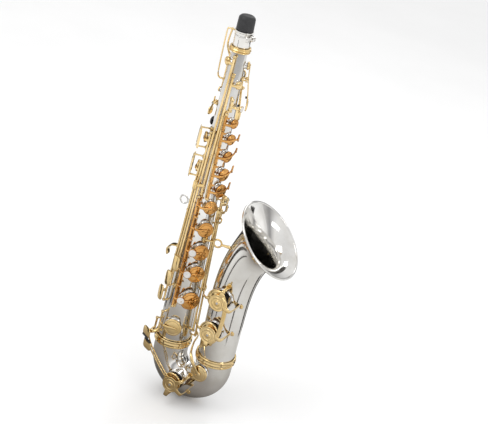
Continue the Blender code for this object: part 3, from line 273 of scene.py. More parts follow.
def spline(values, steps=6):
    """A smooth run through the values, which are vectors or numbers."""
    made = []
    last = len(values) - 1
    for index in range(last):
        a, b = values[max(index - 1, 0)], values[index]
        c, d = values[index + 1], values[min(index + 2, last)]
        for k in range(steps):
            t = k / steps
            made.append(b * 1.0 + (c - a) * (t / 2) + (a * 2 - b * 5 + c * 4 - d) * (t * t / 2)
                        + (b * 3 - a - c * 3 + d) * (t ** 3 / 2))
    made.append(values[-1] * 1.0)
    return made


def listed(value, count):
    return list(value) if isinstance(value, (list, tuple)) else [value] * count


def bar(path, wide, thick, face, steps=6, sides=14, square=0.55):
    """A bar with rounded edges and ends along a smooth path; face is the normal of its flat side."""
    count = len(path)
    line = spline([point.copy() for point in path], steps)
    widths = spline(listed(wide, count), steps)
    depths = spline(listed(thick, count), steps)
    normals = spline([normal.copy() for normal in listed(face, count)], steps)
    rings = []
    last = len(line) - 1
    for index, point in enumerate(line):
        ahead = (line[min(index + 1, last)] - line[max(index - 1, 0)]).normalized()
        across = ahead.cross(normals[index]).normalized()
        flat = across.cross(ahead).normalized()
        ends = {0: -1, last: 1}.get(index, 0)
        levels = ((1.0, 0.0),)
        if ends:
            levels = ((1.0, -0.0), (0.86, 0.30), (0.50, 0.48)) if ends > 0 else ((0.50, 0.48), (0.86, 0.30),
                                                                                 (1.0, 0.0))
        for scale, push in levels:
            ring = []
            for k in range(sides):
                turn = 2 * math.pi * (k + 0.5) / sides
                u = math.copysign(abs(math.cos(turn)) ** square, math.cos(turn)) * widths[index] / 2
                v = math.copysign(abs(math.sin(turn)) ** square, math.sin(turn)) * depths[index] / 2
                shrink = depths[index] * (1 - scale) * 0.8
                u = math.copysign(max(abs(u) - shrink, abs(u) * 0.3), u)
                ring.append(point + ahead * ends * push * depths[index] + across * u + flat * v * scale)
            rings.append(ring)
    return skinned(rings)


def paddle(centre, normal, along, size, thick, crown=0.0006, sides=40, square=0.55):
    """A touch plate: rounded outline, soft edge and a slightly crowned face."""
    along = (along - normal * along.dot(normal)).normalized()
    side = normal.cross(along)
    rings = [[centre - normal * thick / 2]]
    half = thick / 2
    levels = ((0.70, -half), (0.93, -half), (0.985, -half * 0.7), (1.0, 0.0), (0.985, half * 0.7),
              (0.94, half), (0.80, half + crown * 0.35), (0.5, half + crown * 0.8))
    for scale, level in levels:
        ring = []
        for k in range(sides):
            turn = 2 * math.pi * k / sides
            u = math.copysign(abs(math.cos(turn)) ** square, math.cos(turn)) * size[0] / 2
            v = math.copysign(abs(math.sin(turn)) ** square, math.sin(turn)) * size[1] / 2
            ring.append(centre + along * u * scale + side * v * scale + normal * level)
        rings.append(ring)
    rings.append([centre + normal * (half + crown)])
    return skinned(rings)


def turned(profile, corner, steps, base, axis, sides):
    """A closed turned form with rounded corners."""
    return lathe(rounded(profile, corner, steps), base, axis, sides)


def rod(low, high, radius, sides=20, bevel=0.0003):
    length = (high - low).length
    profile = rounded(((0, 0), (radius, 0), (radius, length), (0, length)), bevel)
    return lathe(profile, low, high - low, sides)


def hinge_tube(low, high, radius=SLEEVE_R):
    """A hinge tube with a thicker bead at each end."""
    length = (high - low).length
    bead = min(0.0016, length * 0.2)
    profile = [(0, 0), (radius, 0), (radius, bead), (radius * 0.90, bead + 0.0003),
               (radius * 0.90, length - bead - 0.0003), (radius, length - bead), (radius, length),
               (0, length)]
    return turned(profile, 0.00025, 2, low, high - low, 22)


def moved(shells, matrix):
    return [([matrix @ point for point in points], faces) for points, faces in shells]


# ---------------------------------------------------------------- objects


def make(name, shells, finish, stands_for=(), body="root"):
    """One object from closed shells, smooth shaded, riding on a body; finish is (material, slot), and the
    slot is not used.
    """
    points, faces = [], []
    for shell_points, shell_faces in shells:
        start = len(points)
        points.extend(shell_points)
        faces.extend(tuple(start + k for k in face) for face in shell_faces)
    mesh = bpy.data.meshes.new(name)
    mesh.from_pydata([tuple(point) for point in points], [], faces)
    work = bmesh.new()
    work.from_mesh(mesh)
    bmesh.ops.recalc_face_normals(work, faces=work.faces)
    work.to_mesh(mesh)
    work.free()
    mesh.shade_smooth()
    mesh.set_sharp_from_angle(angle=math.radians(SHARP_ANGLE))
    mesh.materials.append(finish[0])
    piece = bpy.data.objects.new(name, mesh)
    bpy.context.scene.collection.objects.link(piece)
    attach(piece, body)
    if stands_for:
        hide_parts(*stands_for)


def rest_turn(key, opens):
    """Turns a key from closed to rest: an open-standing key is lifted by its whole travel."""
    joint = joints[key]
    pivot, axis = Vector(joint["pos_m"]), Vector(joint["axis"])
    lift = -math.radians(joint["range_deg"][1]) if opens else 0.0
    return Matrix.Translation(pivot) @ Matrix.Rotation(lift, 4, axis) @ Matrix.Translation(-pivot)


# ---------------------------------------------------------------- materials


def graph(name):
    made = bpy.data.materials.new(name)
    made.use_nodes = True
    tree = made.node_tree
    return made, tree, tree.nodes["Principled BSDF"]


def link(tree, source, target):
    tree.links.new(source, target)


def noise_of(tree, scale, detail=3.0, rough=0.55, stretch=None):
    place_node = tree.nodes.new("ShaderNodeTexCoord")
    source = place_node.outputs["Object"]
    if stretch:
        mapping = tree.nodes.new("ShaderNodeMapping")
        mapping.inputs["Scale"].default_value = stretch
        link(tree, source, mapping.inputs["Vector"])
        source = mapping.outputs["Vector"]
    noise = tree.nodes.new("ShaderNodeTexNoise")
    noise.inputs["Scale"].default_value = scale
    noise.inputs["Detail"].default_value = detail
    noise.inputs["Roughness"].default_value = rough
    link(tree, source, noise.inputs["Vector"])
    return noise.outputs["Fac"]


def ramp_of(tree, value, stops):
    ramp = tree.nodes.new("ShaderNodeValToRGB")
    elements = ramp.color_ramp.elements
    while len(elements) < len(stops):
        elements.new(0.5)
    for element, (position, colour) in zip(elements, stops):
        element.position = position
        element.color = (*colour, 1.0) if len(colour) == 3 else colour
    link(tree, value, ramp.inputs["Fac"])
    return ramp.outputs["Color"]


def bump_of(tree, shader, value, strength, distance):
    bump = tree.nodes.new("ShaderNodeBump")
    bump.inputs["Strength"].default_value = strength
    bump.inputs["Distance"].default_value = distance
    link(tree, value, bump.inputs["Height"])
    link(tree, bump.outputs["Normal"], shader.inputs["Normal"])


def plated(name, base, worn, dark, rough, haze):
    """Polished metal: cloudy tint, hazier handled patches, painted shade darkening its crevices and fine wipe
    marks.
    """
    made, tree, shader = graph(name)
    shader.inputs["Metallic"].default_value = 1.0
    cloud = noise_of(tree, 26.0, 4.0)
    tint = ramp_of(tree, cloud, ((0.30, worn), (0.62, base)))
    # painted shade: the colour is mixed towards the dark colour where ambient occlusion finds metal close by
    ao = tree.nodes.new("ShaderNodeAmbientOcclusion")
    ao.inputs["Distance"].default_value = 0.006
    ao.samples = 6
    mix = tree.nodes.new("ShaderNodeMix")
    mix.data_type = "RGBA"
    mix.inputs["A"].default_value = (*dark, 1.0)
    painted_crevice_shade = ramp_of(tree, ao.outputs["AO"], ((0.15, (0.0, 0.0, 0.0)), (0.75, (1.0, 1.0, 1.0))))
    link(tree, painted_crevice_shade, mix.inputs["Factor"])
    link(tree, tint, mix.inputs["B"])
    link(tree, mix.outputs["Result"], shader.inputs["Base Color"])
    wipe = noise_of(tree, 420.0, 5.0, 0.7, (1.0, 1.0, 0.12))
    patch = noise_of(tree, 60.0, 3.0)
    low = tree.nodes.new("ShaderNodeMapRange")
    low.inputs["From Min"].default_value = 0.35
    low.inputs["From Max"].default_value = 0.75
    low.inputs["To Min"].default_value = rough
    low.inputs["To Max"].default_value = haze
    link(tree, patch, low.inputs["Value"])
    link(tree, low.outputs["Result"], shader.inputs["Roughness"])
    bump_of(tree, shader, wipe, 0.05, 0.0002)
    return made, name


def steel_finish():
    made, tree, shader = graph("ground_steel")
    shader.inputs["Metallic"].default_value = 1.0
    streak = noise_of(tree, 300.0, 4.0, 0.6, (1.0, 1.0, 0.05))
    link(tree, ramp_of(tree, streak, ((0.3, (0.42, 0.42, 0.43)), (0.7, (0.66, 0.66, 0.67)))),
         shader.inputs["Base Color"])
    shader.inputs["Roughness"].default_value = 0.28
    bump_of(tree, shader, streak, 0.12, 0.0002)
    return made, "steel_rod"


def blued_finish():
    made, tree, shader = graph("blued_spring_steel")
    shader.inputs["Metallic"].default_value = 1.0
    heat = noise_of(tree, 160.0, 2.0, 0.5, (1.0, 1.0, 0.3))
    link(tree, ramp_of(tree, heat, ((0.3, (0.05, 0.07, 0.16)), (0.7, (0.12, 0.10, 0.16)))),
         shader.inputs["Base Color"])
    shader.inputs["Roughness"].default_value = 0.32
    return made, "steel_rod"


def soft_finish(name, slot, low, high, scale, rough, bump, depth=0.0002, sheen=0.0):
    """Leather, felt, cork or plastic: a mottled colour with a matching bump."""
    made, tree, shader = graph(name)
    grain = noise_of(tree, scale, 6.0, 0.65)
    link(tree, ramp_of(tree, grain, ((0.32, low), (0.68, high))), shader.inputs["Base Color"])
    shader.inputs["Roughness"].default_value = rough
    shader.inputs["Sheen Weight"].default_value = sheen
    bump_of(tree, shader, grain, bump, depth)
    return made, slot


def pearl_finish():
    made, tree, shader = graph("mother_of_pearl")
    coords = tree.nodes.new("ShaderNodeTexCoord")
    wave = tree.nodes.new("ShaderNodeTexNoise")
    wave.inputs["Scale"].default_value = 190.0
    wave.inputs["Detail"].default_value = 5.0
    wave.inputs["Distortion"].default_value = 2.4
    link(tree, coords.outputs["Object"], wave.inputs["Vector"])
    stops = ((0.25, (0.40, 0.44, 0.47)), (0.42, (0.62, 0.59, 0.55)), (0.55, (0.68, 0.67, 0.64)),
             (0.68, (0.56, 0.48, 0.50)), (0.8, (0.46, 0.53, 0.53)))
    link(tree, ramp_of(tree, wave.outputs["Fac"], stops), shader.inputs["Base Color"])
    shader.inputs["Roughness"].default_value = 0.22
    shader.inputs["Coat Weight"].default_value = 0.8
    shader.inputs["Coat Roughness"].default_value = 0.06
    bump_of(tree, shader, wave.outputs["Fac"], 0.06, 0.0003)
    return made, "pearl"


# the fourth colour of each metal is its painted crevice shade
silver = plated("silver_plate", (0.83, 0.82, 0.80), (0.72, 0.70, 0.66), (0.16, 0.13, 0.10), 0.075, 0.15)
gold = plated("gold_lacquer", (0.93, 0.71, 0.37), (0.76, 0.54, 0.23), (0.08, 0.035, 0.01), 0.09, 0.18)
amber = plated("amber_lacquer", (0.80, 0.43, 0.14), (0.52, 0.24, 0.06), (0.07, 0.02, 0.005), 0.09, 0.18)
steel = steel_finish()
blued = blued_finish()
pearl = pearl_finish()
pad_skin = soft_finish("pad_leather", "pad_leather", (0.30, 0.17, 0.09), (0.46, 0.29, 0.17), 900.0, 0.55,
                       0.25)
felt = soft_finish("black_felt", "black_felt", (0.010, 0.010, 0.010), (0.035, 0.034, 0.033), 1800.0, 0.95,
                   0.6, 0.0003, 0.4)
cork = soft_finish("cork", "black_felt", (0.36, 0.22, 0.11), (0.60, 0.42, 0.24), 700.0, 0.85, 0.5, 0.0003)
moulded = soft_finish("black_moulded_plug", "black_plug", (0.012, 0.012, 0.013), (0.030, 0.030, 0.032),
                      420.0, 0.50, 0.18, 0.0003)
black_gloss = soft_finish("black_roller_plastic", "black_rest", (0.008, 0.008, 0.009),
                          (0.022, 0.022, 0.024), 260.0, 0.26, 0.05)
# painted shade: a near-black finish that stands for the shadow inside holes and gaps
painted_hole_shade = soft_finish("painted_hole_shadow", "silver_plate", (0.010, 0.008, 0.006), (0.030, 0.024, 0.018), 300.0, 0.60,
                     0.10)


# ---------------------------------------------------------------- tubes


def make_tube():
    length = TUBE_TOP - TUBE_LOW
    outline = [(TUBE_R_LOW, 0), (TUBE_R_TOP, length), (TUBE_R_TOP - TUBE_WALL, length),
               (TUBE_R_LOW - TUBE_WALL, 0)]
    make("body_tube_shell",
         [lathe(rounded(outline, 0.0002, 2, True), place(0, 0, TUBE_LOW), UP, FINE, True, FORWARD)], silver,
         ("body_tube",))


def bow_rings(shrink):
    rings = []
    first = [(0, BOW_TOP), (0, BOW_HEIGHT + 0.018), (0, BOW_HEIGHT + 0.008)]
    arc = 40
    path = [(place(x, 0, h), Vector((0, 0, -1)), 0.0) for x, h in first]
    for k in range(arc + 1):
        turn = math.pi + math.pi * k / arc
        out = Vector((math.cos(turn), 0, math.sin(turn)))
        path.append((place(BOW_X, 0, BOW_HEIGHT) + out * BOW_RADIUS, Vector((-out.z, 0, out.x)), k / arc))
    for h in (BOW_HEIGHT + 0.008, BOW_HEIGHT + 0.018, BOW_TOP):
        path.append((place(2 * BOW_X, 0, h), UP, 1.0))
    for centre, ahead, share in path:
        radius = BOW_R_TUBE + (BOW_R_BELL - BOW_R_TUBE) * share - shrink
        rings.append(circle(centre, ahead.cross(SIDE), SIDE, radius, FINE))
    return rings


def make_bow():
    shell = skinned(bow_rings(0.0) + bow_rings(BOW_WALL)[::-1], loop=True)
    make("bow_shell", [shell], silver, ("bow",))


def bell_rings(runs, shrink):
    rings = []
    for run in runs:
        centre, turn = bell_line(run)
        ahead = Vector((math.sin(turn), 0, math.cos(turn)))
        rings.append(circle(centre, ahead.cross(SIDE), SIDE, bell_radius(run) - shrink, 96))
    return rings


def make_bell():
    even = [BELL_LENGTH * (1 - (1 - k / 56) ** 1.9) for k in range(57)]
    shell = skinned(bell_rings(even, 0.0) + bell_rings(even, TUBE_WALL)[::-1], loop=True)
    centre, turn = bell_line(BELL_LENGTH)
    ahead = Vector((math.sin(turn), 0, math.cos(turn)))
    edge = bell_radius(BELL_LENGTH) + 0.0006
    bead = [(edge + RIM_WIRE * math.cos(k * math.pi / 8), RIM_WIRE * math.sin(k * math.pi / 8) - 0.0006)
            for k in range(16)]
    make("bell_shell", [shell, lathe(bead, centre, ahead, 128, True, SIDE)], silver, ("bell",))


def chimney_shells(centre, normal, radius, face, surface, first=UP):
    """A drawn tone hole: filleted foot that follows the surface, straight wall and rolled rim; with it a disc
    across the bore for the painted shade inside the tube.
    """
    second = normal.cross(first)
    sides = 44

    def ring(r, level=None, lift=0.0):
        points = []
        for k in range(sides):
            turn = 2 * math.pi * k / sides
            a, b = r * math.cos(turn), r * math.sin(turn)
            high = level if level is not None else surface(a, b) + lift
            points.append(centre + first * a + second * b + normal * high)
        return points

    def wall(r, share, inside=0.0):
        points = []
        for k in range(sides):
            turn = 2 * math.pi * k / sides
            a, b = r * math.cos(turn), r * math.sin(turn)
            foot = surface(a, b) + 0.0012 - inside
            points.append(centre + first * a + second * b + normal * (foot + (face - 0.0009 - foot) * share))
        return points

    bore = radius - 0.0009
    outer = [ring(radius + 0.0020, lift=-0.0002), ring(radius + 0.0011, lift=0.0001),
             ring(radius + 0.0004, lift=0.0005), wall(radius, 0.0), wall(radius, 1.0),
             ring(radius + 0.0004, face - 0.0006), ring(radius + 0.0005, face - 0.0003),
             ring(radius + 0.0002, face), ring(radius - 0.0005, face), ring(bore, face - 0.0003),
             wall(bore, 1.0), wall(bore, 0.0, 0.0015)]
    # the disc across the bore holds the painted shade of the tube's dark inside
    floor = [ring(bore, lift=0.0002), ring(bore * 0.5, lift=0.0002),
             [centre + normal * (surface(0, 0) + 0.0002)]]
    under = [ring(bore, lift=-0.0004), ring(bore * 0.5, lift=-0.0004),
             [centre + normal * (surface(0, 0) - 0.0004)]]
    return skinned(outer + [ring(radius + 0.0012, lift=-0.0008)], loop=True), skinned(under[::-1] + floor)


def tube_surface(height):
    def surface(a, b):
        return math.sqrt(max(tube_radius(height + a) ** 2 - b ** 2, 0.0))
    return surface


def right_surface(x, height):
    def surface(a, b):
        return -bell_side(x - b, height + a).y
    return surface


def make_chimneys():
    holes = [(row[1], UPPER_CUP, row[2]) for row in UPPER_STACK] + [(row[1], LOWER_CUP, row[2])
                                                                    for row in LOWER_STACK]
    holes += [(G_SHARP[1], LOWER_CUP, G_SHARP[2]), LOW_E_FLAT, OCTAVE_VENT]
    holes += [(row[6], row[5], row[7]) for row in SIDE_KEYS + (HIGH_F_SHARP,)]
    holes += [(row[2], row[1], row[3]) for row in PALM_KEYS]
    walls, bore_shade_discs = [], []
    for height, angle, radius in holes:
        wall, floor = chimney_shells(place(0, 0, height), outward(angle), radius,
                                     tube_radius(height) + CHIMNEY_TALL, tube_surface(height))
        walls.append(wall)
        bore_shade_discs.append(floor)
    for x, height, radius, face in LOW_CUPS.values():
        wall, floor = chimney_shells(place(x, 0, height), RIGHT, radius, -face, right_surface(x, height))
        walls.append(wall)
        bore_shade_discs.append(floor)
    make("tone_hole_chimneys", walls, silver)
    # the bore discs carry the painted shade seen through each tone hole
    make("tone_hole_bore_shade", bore_shade_discs, painted_hole_shade)


def make_collars():
    """Beaded rings over the joints of tube, bow, bell and receiver."""
    for name, x, radius, low, high in (("body_bow_ring", 0.0, TUBE_R_LOW, 0.1050, 0.1195),
                                       ("bell_bow_ring", 2 * BOW_X, BELL_R, 0.1050, 0.1195),
                                       ("receiver_band", 0.0, RECEIVER_R, 0.7130, 0.7225)):
        inside, tall = radius + 0.0003, high - low
        outline = [(inside, 0), (inside + 0.0026, 0), (inside + 0.0032, tall * 0.10),
                   (inside + 0.0026, tall * 0.20), (inside + 0.0022, tall * 0.24),
                   (inside + 0.0036, tall * 0.42), (inside + 0.0042, tall * 0.5),
                   (inside + 0.0036, tall * 0.58), (inside + 0.0022, tall * 0.76),
                   (inside + 0.0026, tall * 0.80), (inside + 0.0032, tall * 0.90), (inside + 0.0026, tall),
                   (inside, tall)]
        make(name + "_fine",
             [lathe(rounded(outline, 0.0006, 2, True), place(x, 0, low), UP, FINE, True, FORWARD)], gold,
             (name,))


def make_receiver():
    base, tall = place(0, 0, RECEIVER_LOW), RECEIVER_TOP - RECEIVER_LOW
    outline = [(RECEIVER_BORE, 0), (RECEIVER_R, 0), (RECEIVER_R, tall - 0.0105),
               (RECEIVER_R + 0.0004, tall - 0.0098), (RECEIVER_R + 0.0004, tall - 0.0088),
               (RECEIVER_R, tall - 0.0080), (RECEIVER_R, tall - 0.0034),
               (RECEIVER_R + 0.0013, tall - 0.0026), (RECEIVER_R + 0.0013, tall), (RECEIVER_BORE, tall)]
    shells = [lathe(rounded(outline, 0.0003, 2, True), base, UP, FINE, True, FORWARD)]
    out, along = outward(CLAMP_ANGLE), around(CLAMP_ANGLE)
    level = RECEIVER_TOP - 0.009
    for side in (-1, 1):
        root = place(0, 0, level) + out * (RECEIVER_R - 0.0006) + along * side * 0.0023
        shells.append(bar([root, root + out * 0.0040, root + out * 0.0078], [0.0092, 0.0096, 0.0086],
                          0.0030, along, 4))
    make("neck_receiver_fine", shells, silver, ("neck_receiver",))
    # painted shade: a dark strip just over the receiver stands for the shadow in its slot
    slot_shade_path = [place(0, 0, RECEIVER_TOP - 0.020) + out * (RECEIVER_R + 0.0001),
                 place(0, 0, RECEIVER_TOP - 0.002) + out * (RECEIVER_R + 0.0006)]
    make("receiver_slot_shade", [bar(slot_shade_path, 0.0012, 0.0006, out, 2, 8)], painted_hole_shade)
    at = place(0, 0, level) + out * CLAMP_REACH
    profile = rounded([(0, -0.0075), (0.0013, -0.0075), (0.0013, 0.0060), (0.0024, 0.0062), (0.0024, 0.0090),
                       (0.0013, 0.0094), (0.0013, 0.0130), (0, 0.0130)], 0.0002, 2)
    head = at - along * 0.0165
    make("receiver_screw_fine",
         [lathe(profile, at, -along, 24), paddle(head, out, UP, (0.0092, 0.0100), 0.0020)], silver,
         ("receiver_screw",))


def make_plug():
    base = place(0, 0, RECEIVER_TOP - PLUG_STEM)
    top = PLUG_STEM + PLUG_TALL
    outline = [(0, 0), (PLUG_STEM_R - 0.001, 0), (PLUG_STEM_R, 0.002), (PLUG_STEM_R, PLUG_STEM + 0.0004),
               (PLUG_R - 0.0006, PLUG_STEM + 0.0004), (PLUG_R, PLUG_STEM + 0.0016),
               (PLUG_R - 0.0002, PLUG_STEM + PLUG_TALL * 0.5),
               (PLUG_R - 0.0006, PLUG_STEM + PLUG_TALL * 0.84), (PLUG_R - 0.0040, top - 0.0008),
               (PLUG_R - 0.0075, top), (0, top - 0.0004)]
    make("end_plug_fine", [turned(outline, 0.0030, 5, base, UP, FINE)], moulded, ("end_plug",), "end_plug")


# ---------------------------------------------------------------- hinges, posts and ribs


def post_shells(hinge, foot, axis):
    """A turned post: foot flange, tapered stem, ball on the hinge line with a screw face at each side."""
    axis = axis.normalized()
    lean = (hinge - foot).normalized()
    reach = (hinge - foot).length
    stem = rounded([(0, 0), (0.0031, 0), (0.0031, 0.0007), (0.0019, 0.0013), (0.0013, reach * 0.62),
                    (0.0014, reach), (0, reach)], 0.0003, 2)
    ball = [(0, -0.0020), (0.0016, -0.0020)]
    for k in range(9):
        turn = math.radians(-38 + 76 * k / 8)
        ball.append((POST_BALL * math.cos(turn), POST_BALL * math.sin(turn)))
    ball += [(0.0016, 0.0020), (0, 0.0020)]
    return [lathe(stem, foot, lean, 16), lathe(ball, hinge, axis, 24)]


def screw_shells(hinge, axis, side):
    """The round end of a pivot screw in a post."""
    face = hinge + axis * side * 0.0019
    return [turned([(0, 0), (0.0013, 0), (0.0013, 0.0005), (0, 0.0006)], 0.0002, 2, face, axis * side, 16)]


def spring_shell(start, end):
    return lathe([(0, 0), (0.00042, 0.0002), (0.00036, (end - start).length * 0.5),
                  (0.00022, (end - start).length)] + [(0, (end - start).length + 0.0001)], start,
                 end - start, 8)


def rib_shell(low_angle, high_angle, low, high, wide, thick=0.0012, lift=0.0001):
    """A strip soldered along the tube, bent to its curve, with rounded ends."""
    rings = []
    count = max(int((high - low) / 0.008), 4)
    heights = [low + (high - low) * k / count for k in range(count + 1)]
    heights = [low, low + wide * 0.12, low + wide * 0.35] + heights[1:-1] + [high - wide * 0.35,
                                                                             high - wide * 0.12, high]
    heights = sorted(heights)
    for height in heights:
        share = (height - low) / (high - low)
        angle = low_angle + (high_angle - low_angle) * share
        from_end = min(height - low, high - height)
        half = wide / 2 * math.sqrt(max(1 - max(1 - from_end / (wide * 0.5), 0) ** 2, 0.04))
        radius = tube_radius(height)
        ring = []
        for u, level in ((-1, 0), (-0.5, 0), (0, 0), (0.5, 0), (1, 0), (1, 0.6), (0.88, 1), (0.4, 1),
                         (0, 1), (-0.4, 1), (-0.88, 1), (-1, 0.6)):
            turn = angle + math.degrees(u * half / radius)
            ring.append(place(0, 0, height) + outward(turn) * (radius + lift + level * thick))
        rings.append(ring)
    return skinned(rings)


def pair_of(low, high, low_angle, high_angle, above=HINGE_ABOVE):
    return on_tube(low, low_angle, above), on_tube(high, high_angle, above)


def at_height(ends, low, high, height):
    return ends[0].lerp(ends[1], (height - low) / (high - low))


def make_rods_and_posts():
    posts, screws = [], []
    for name, (low, high), angle in (("upper_stack", UPPER_POSTS, UPPER_HINGE),
                                     ("lower_stack", LOWER_POSTS, LOWER_HINGE)):
        ends = pair_of(low, high, angle, angle)
        axis = (ends[1] - ends[0]).normalized()
        shells = [rib_shell(angle, angle, low - 0.006, high + 0.006, 0.0085, 0.0012)]
        for hinge, height in zip(ends, (low, high)):
            shells += post_shells(hinge, on_tube(height, angle, 0.0010), axis)
        make(name + "_rib_fine", shells, gold, (name + "_rib",))
        make(name + "_rod_fine", [rod(ends[0] - axis * 0.0030, ends[1] + axis * 0.0030, ROD_R, 16)], steel,
             (name + "_rod",))
    lone = [(row[1], row[2], row[3], row[4]) for row in SIDE_KEYS + (HIGH_F_SHARP,)]
    lone += [(angle, angle, low, high) for angle, low, high in TABLE_RODS.values()]
    lone += [(LOW_C_ANGLE, LOW_C_ANGLE, *LOW_C_HINGE),
             (LOW_E_FLAT_ANGLE, LOW_E_FLAT_ANGLE, *LOW_E_FLAT_HINGE),
             (G_SHARP_ANGLE, G_SHARP_ANGLE, *G_SHARP_HINGE), (FRONT_F_ANGLE, FRONT_F_ANGLE, *FRONT_F_HINGE)]
    reach = 0.0005 + 0.0016 * 1.15
    for low_angle, high_angle, low, high in lone:
        ends = pair_of(low, high, low_angle, high_angle)
        axis = (ends[1] - ends[0]).normalized()
        for end, angle, height, side in ((ends[0], low_angle, low, -1), (ends[1], high_angle, high, 1)):
            hinge = end + axis * side * reach
            posts += post_shells(hinge, on_tube(height + side * reach, angle, -0.0003), axis)
            screws += screw_shells(hinge, axis, side)
    pins = [(row[0].replace("_key", "_pin"), row[1], row[4], HINGE_ABOVE) for row in PALM_KEYS]
    for pin, angle, hinge_height, above in pins + [("octave_pin", BACK, OCTAVE_HINGE, OCTAVE_ABOVE)]:
        across, hinge = around(angle), on_tube(hinge_height, angle, above)
        for side in (-1, 1):
            at = hinge + across * side * (PALM_HALF + reach)
            posts += post_shells(at, at - outward(angle) * (above + 0.0014), across)
            screws += screw_shells(at, across, side)
        make(pin + "_fine",
             [rod(hinge - across * (PALM_HALF + 0.0045), hinge + across * (PALM_HALF + 0.0045), ROD_R, 14)],
             steel, (pin,))
    make("posts", posts, gold)
    make("pivot_screws", screws, steel)


# ---------------------------------------------------------------- cups, pads and touches


def cup_shells(seat, normal, radius):
    """A pad cup: straight wall, rounded shoulder, a turned step and a shallow dome with a centre boss."""
    outline = [(0, 0.0012), (radius - 0.0012, 0.0012), (radius - 0.0010, 0.0004), (radius, 0.0004),
               (radius, CUP_TALL * 0.60), (radius - 0.0010, CUP_TALL * 0.80),
               (radius * 0.80, CUP_TALL * 0.86), (radius * 0.77, CUP_TALL * 0.80),
               (radius * 0.74, CUP_TALL * 0.90), (radius * 0.40, CUP_TALL * 1.02), (0, CUP_TALL * 1.06)]
    return [turned(outline, 0.0005, 3, seat, normal, 48)]


def pad_shells(seat, normal, radius):
    """The leather pad, with the ring that its tone hole has pressed into it."""
    hole = radius - CUP_LIP
    outline = [(0, 0.0016), (radius - 0.0013, 0.0016), (radius - 0.0013, 0.0002), (hole + 0.0002, -0.00010),
               (hole - 0.0004, 0.0002), (hole - 0.0012, -0.00010), (radius * 0.3, 0.0000), (0, 0.0000)]
    return [turned(outline, 0.0004, 3, seat, normal, 40)]


def resonator_shells(seat, normal, radius):
    size = radius * 0.46
    outline = [(0, 0.0008), (size, 0.0008), (size, -0.0001), (size * 0.5, -0.0005), (size * 0.16, -0.0006),
               (size * 0.14, -0.0009), (0, -0.0010)]
    return [turned(outline, 0.0002, 2, seat, normal, 28)]


def pearl_parts(spot, normal, radius):
    """(holder shells, pearl shells) of a finger touch whose face is at the spot."""
    holder = [(0, -PEARL_TALL), (radius * 0.82, -PEARL_TALL), (radius, -PEARL_TALL * 0.55), (radius, 0.0002),
              (radius - 0.0007, 0.0003), (radius - 0.0008, -0.0006), (0, -0.0006)]
    disc = [(0, -0.0010), (radius - 0.0009, -0.0010), (radius - 0.0009, 0.0002), (radius * 0.72, 0.0007),
            (radius * 0.35, 0.0006), (0, 0.0005)]
    return [turned(holder, 0.0004, 3, spot, normal, 36)], [turned(disc, 0.0005, 3, spot, normal, 36)]


def finish_key(key, metal, opens, cup=None, pearls=(), extra=(), finish=gold):
    """Makes the pieces of a key at its rest pose; cup is (seat, normal, rim radius)."""
    matrix = rest_turn(key, opens)
    make(key + "_metal", moved(metal, matrix), finish, (key,), key)
    if cup:
        make(key + "_pad", moved(pad_shells(*cup), matrix), pad_skin, (), key)
        make(key + "_resonator", moved(resonator_shells(*cup), matrix), steel, (), key)
    if pearls:
        make(key + "_pearl", moved(pearls, matrix), pearl, (), key)
    for suffix, shells, material in extra:
        make(key + suffix, moved(shells, matrix), material, (), key)


def make_stack(rows, cup_angle, hinge_angle, posts):
    low, high = posts
    ends = pair_of(low, high, hinge_angle, hinge_angle)
    axis = (ends[1] - ends[0]).normalized()
    side, normal = outward(hinge_angle), outward(cup_angle)
    for key, height, radius, tube_low, tube_high, touch_angle, touch_height, touch_r in rows:
        seat = on_tube(height, cup_angle, CHIMNEY_TALL + PAD_GAP)
        top = seat + normal * (CUP_TALL + 0.0006)
        hinge = at_height(ends, low, high, height)
        between = (cup_angle + hinge_angle) / 2
        arch = on_tube(height, between, 0.0122)
        rim = radius + CUP_LIP
        metal = cup_shells(seat, normal, rim)
        metal.append(bar([hinge + side * 0.0018, arch, top, top + around(cup_angle) * radius * 0.62],
                         [0.0050, 0.0044, 0.0048, 0.0026], [0.0026, 0.0021, 0.0020, 0.0014],
                         [side, outward(between), normal, normal]))
        metal.append(turned([(0, 0), (0.0034, 0), (0.0034, 0.0012), (0.0022, 0.0017), (0, 0.0018)], 0.0003,
                            2, top - normal * 0.0004, normal, 24))
        span = [at_height(ends, low, high, h) for h in (tube_low, tube_high)]
        metal.append(hinge_tube(*span))
        pearls = []
        extra = []
        if touch_angle is not None:
            reach = 0.0135 if touch_angle > cup_angle else 0.0150
            face = outward(touch_angle)
            spot = on_tube(touch_height, touch_angle, reach)
            holder, pearls = pearl_parts(spot, face, touch_r)
            metal += holder
            if touch_angle > cup_angle:
                metal.append(bar([top, top.lerp(spot, 0.55) + normal * 0.0012, spot - face * 0.0020],
                                 [0.0046, 0.0038, 0.0050], 0.0019, [normal, normal, face]))
            else:
                metal.append(rod(arch - outward(between) * 0.0004, spot - face * 0.0012, 0.0030, 20))
        # adjusting tab with its screw and cork at the upper end of the hinge tube
        tab_root = at_height(ends, low, high, tube_high - 0.0035)
        tab = tab_root + around(hinge_angle) * 0.0072 + side * 0.0016
        metal.append(bar([tab_root + side * 0.0012, tab], [0.0040, 0.0034], 0.0014, side, 4, 12))
        extra.append(("_screw", [rod(tab - side * 0.0022, tab + side * 0.0012, 0.0010, 14)], steel))
        extra.append(("_cork", [rod(tab - side * 0.0034, tab - side * 0.0018, 0.0014, 14)], cork))
        finish_key(key, metal, key != "g_sharp_key", (seat, normal, rim), pearls, extra, amber)
        stretch = (tube_high - tube_low) * 0.62
        anchor = span[0] + side * 0.0002 + around(hinge_angle) * -0.0034
        make(key + "_spring", [spring_shell(anchor, anchor + axis * stretch)], blued)


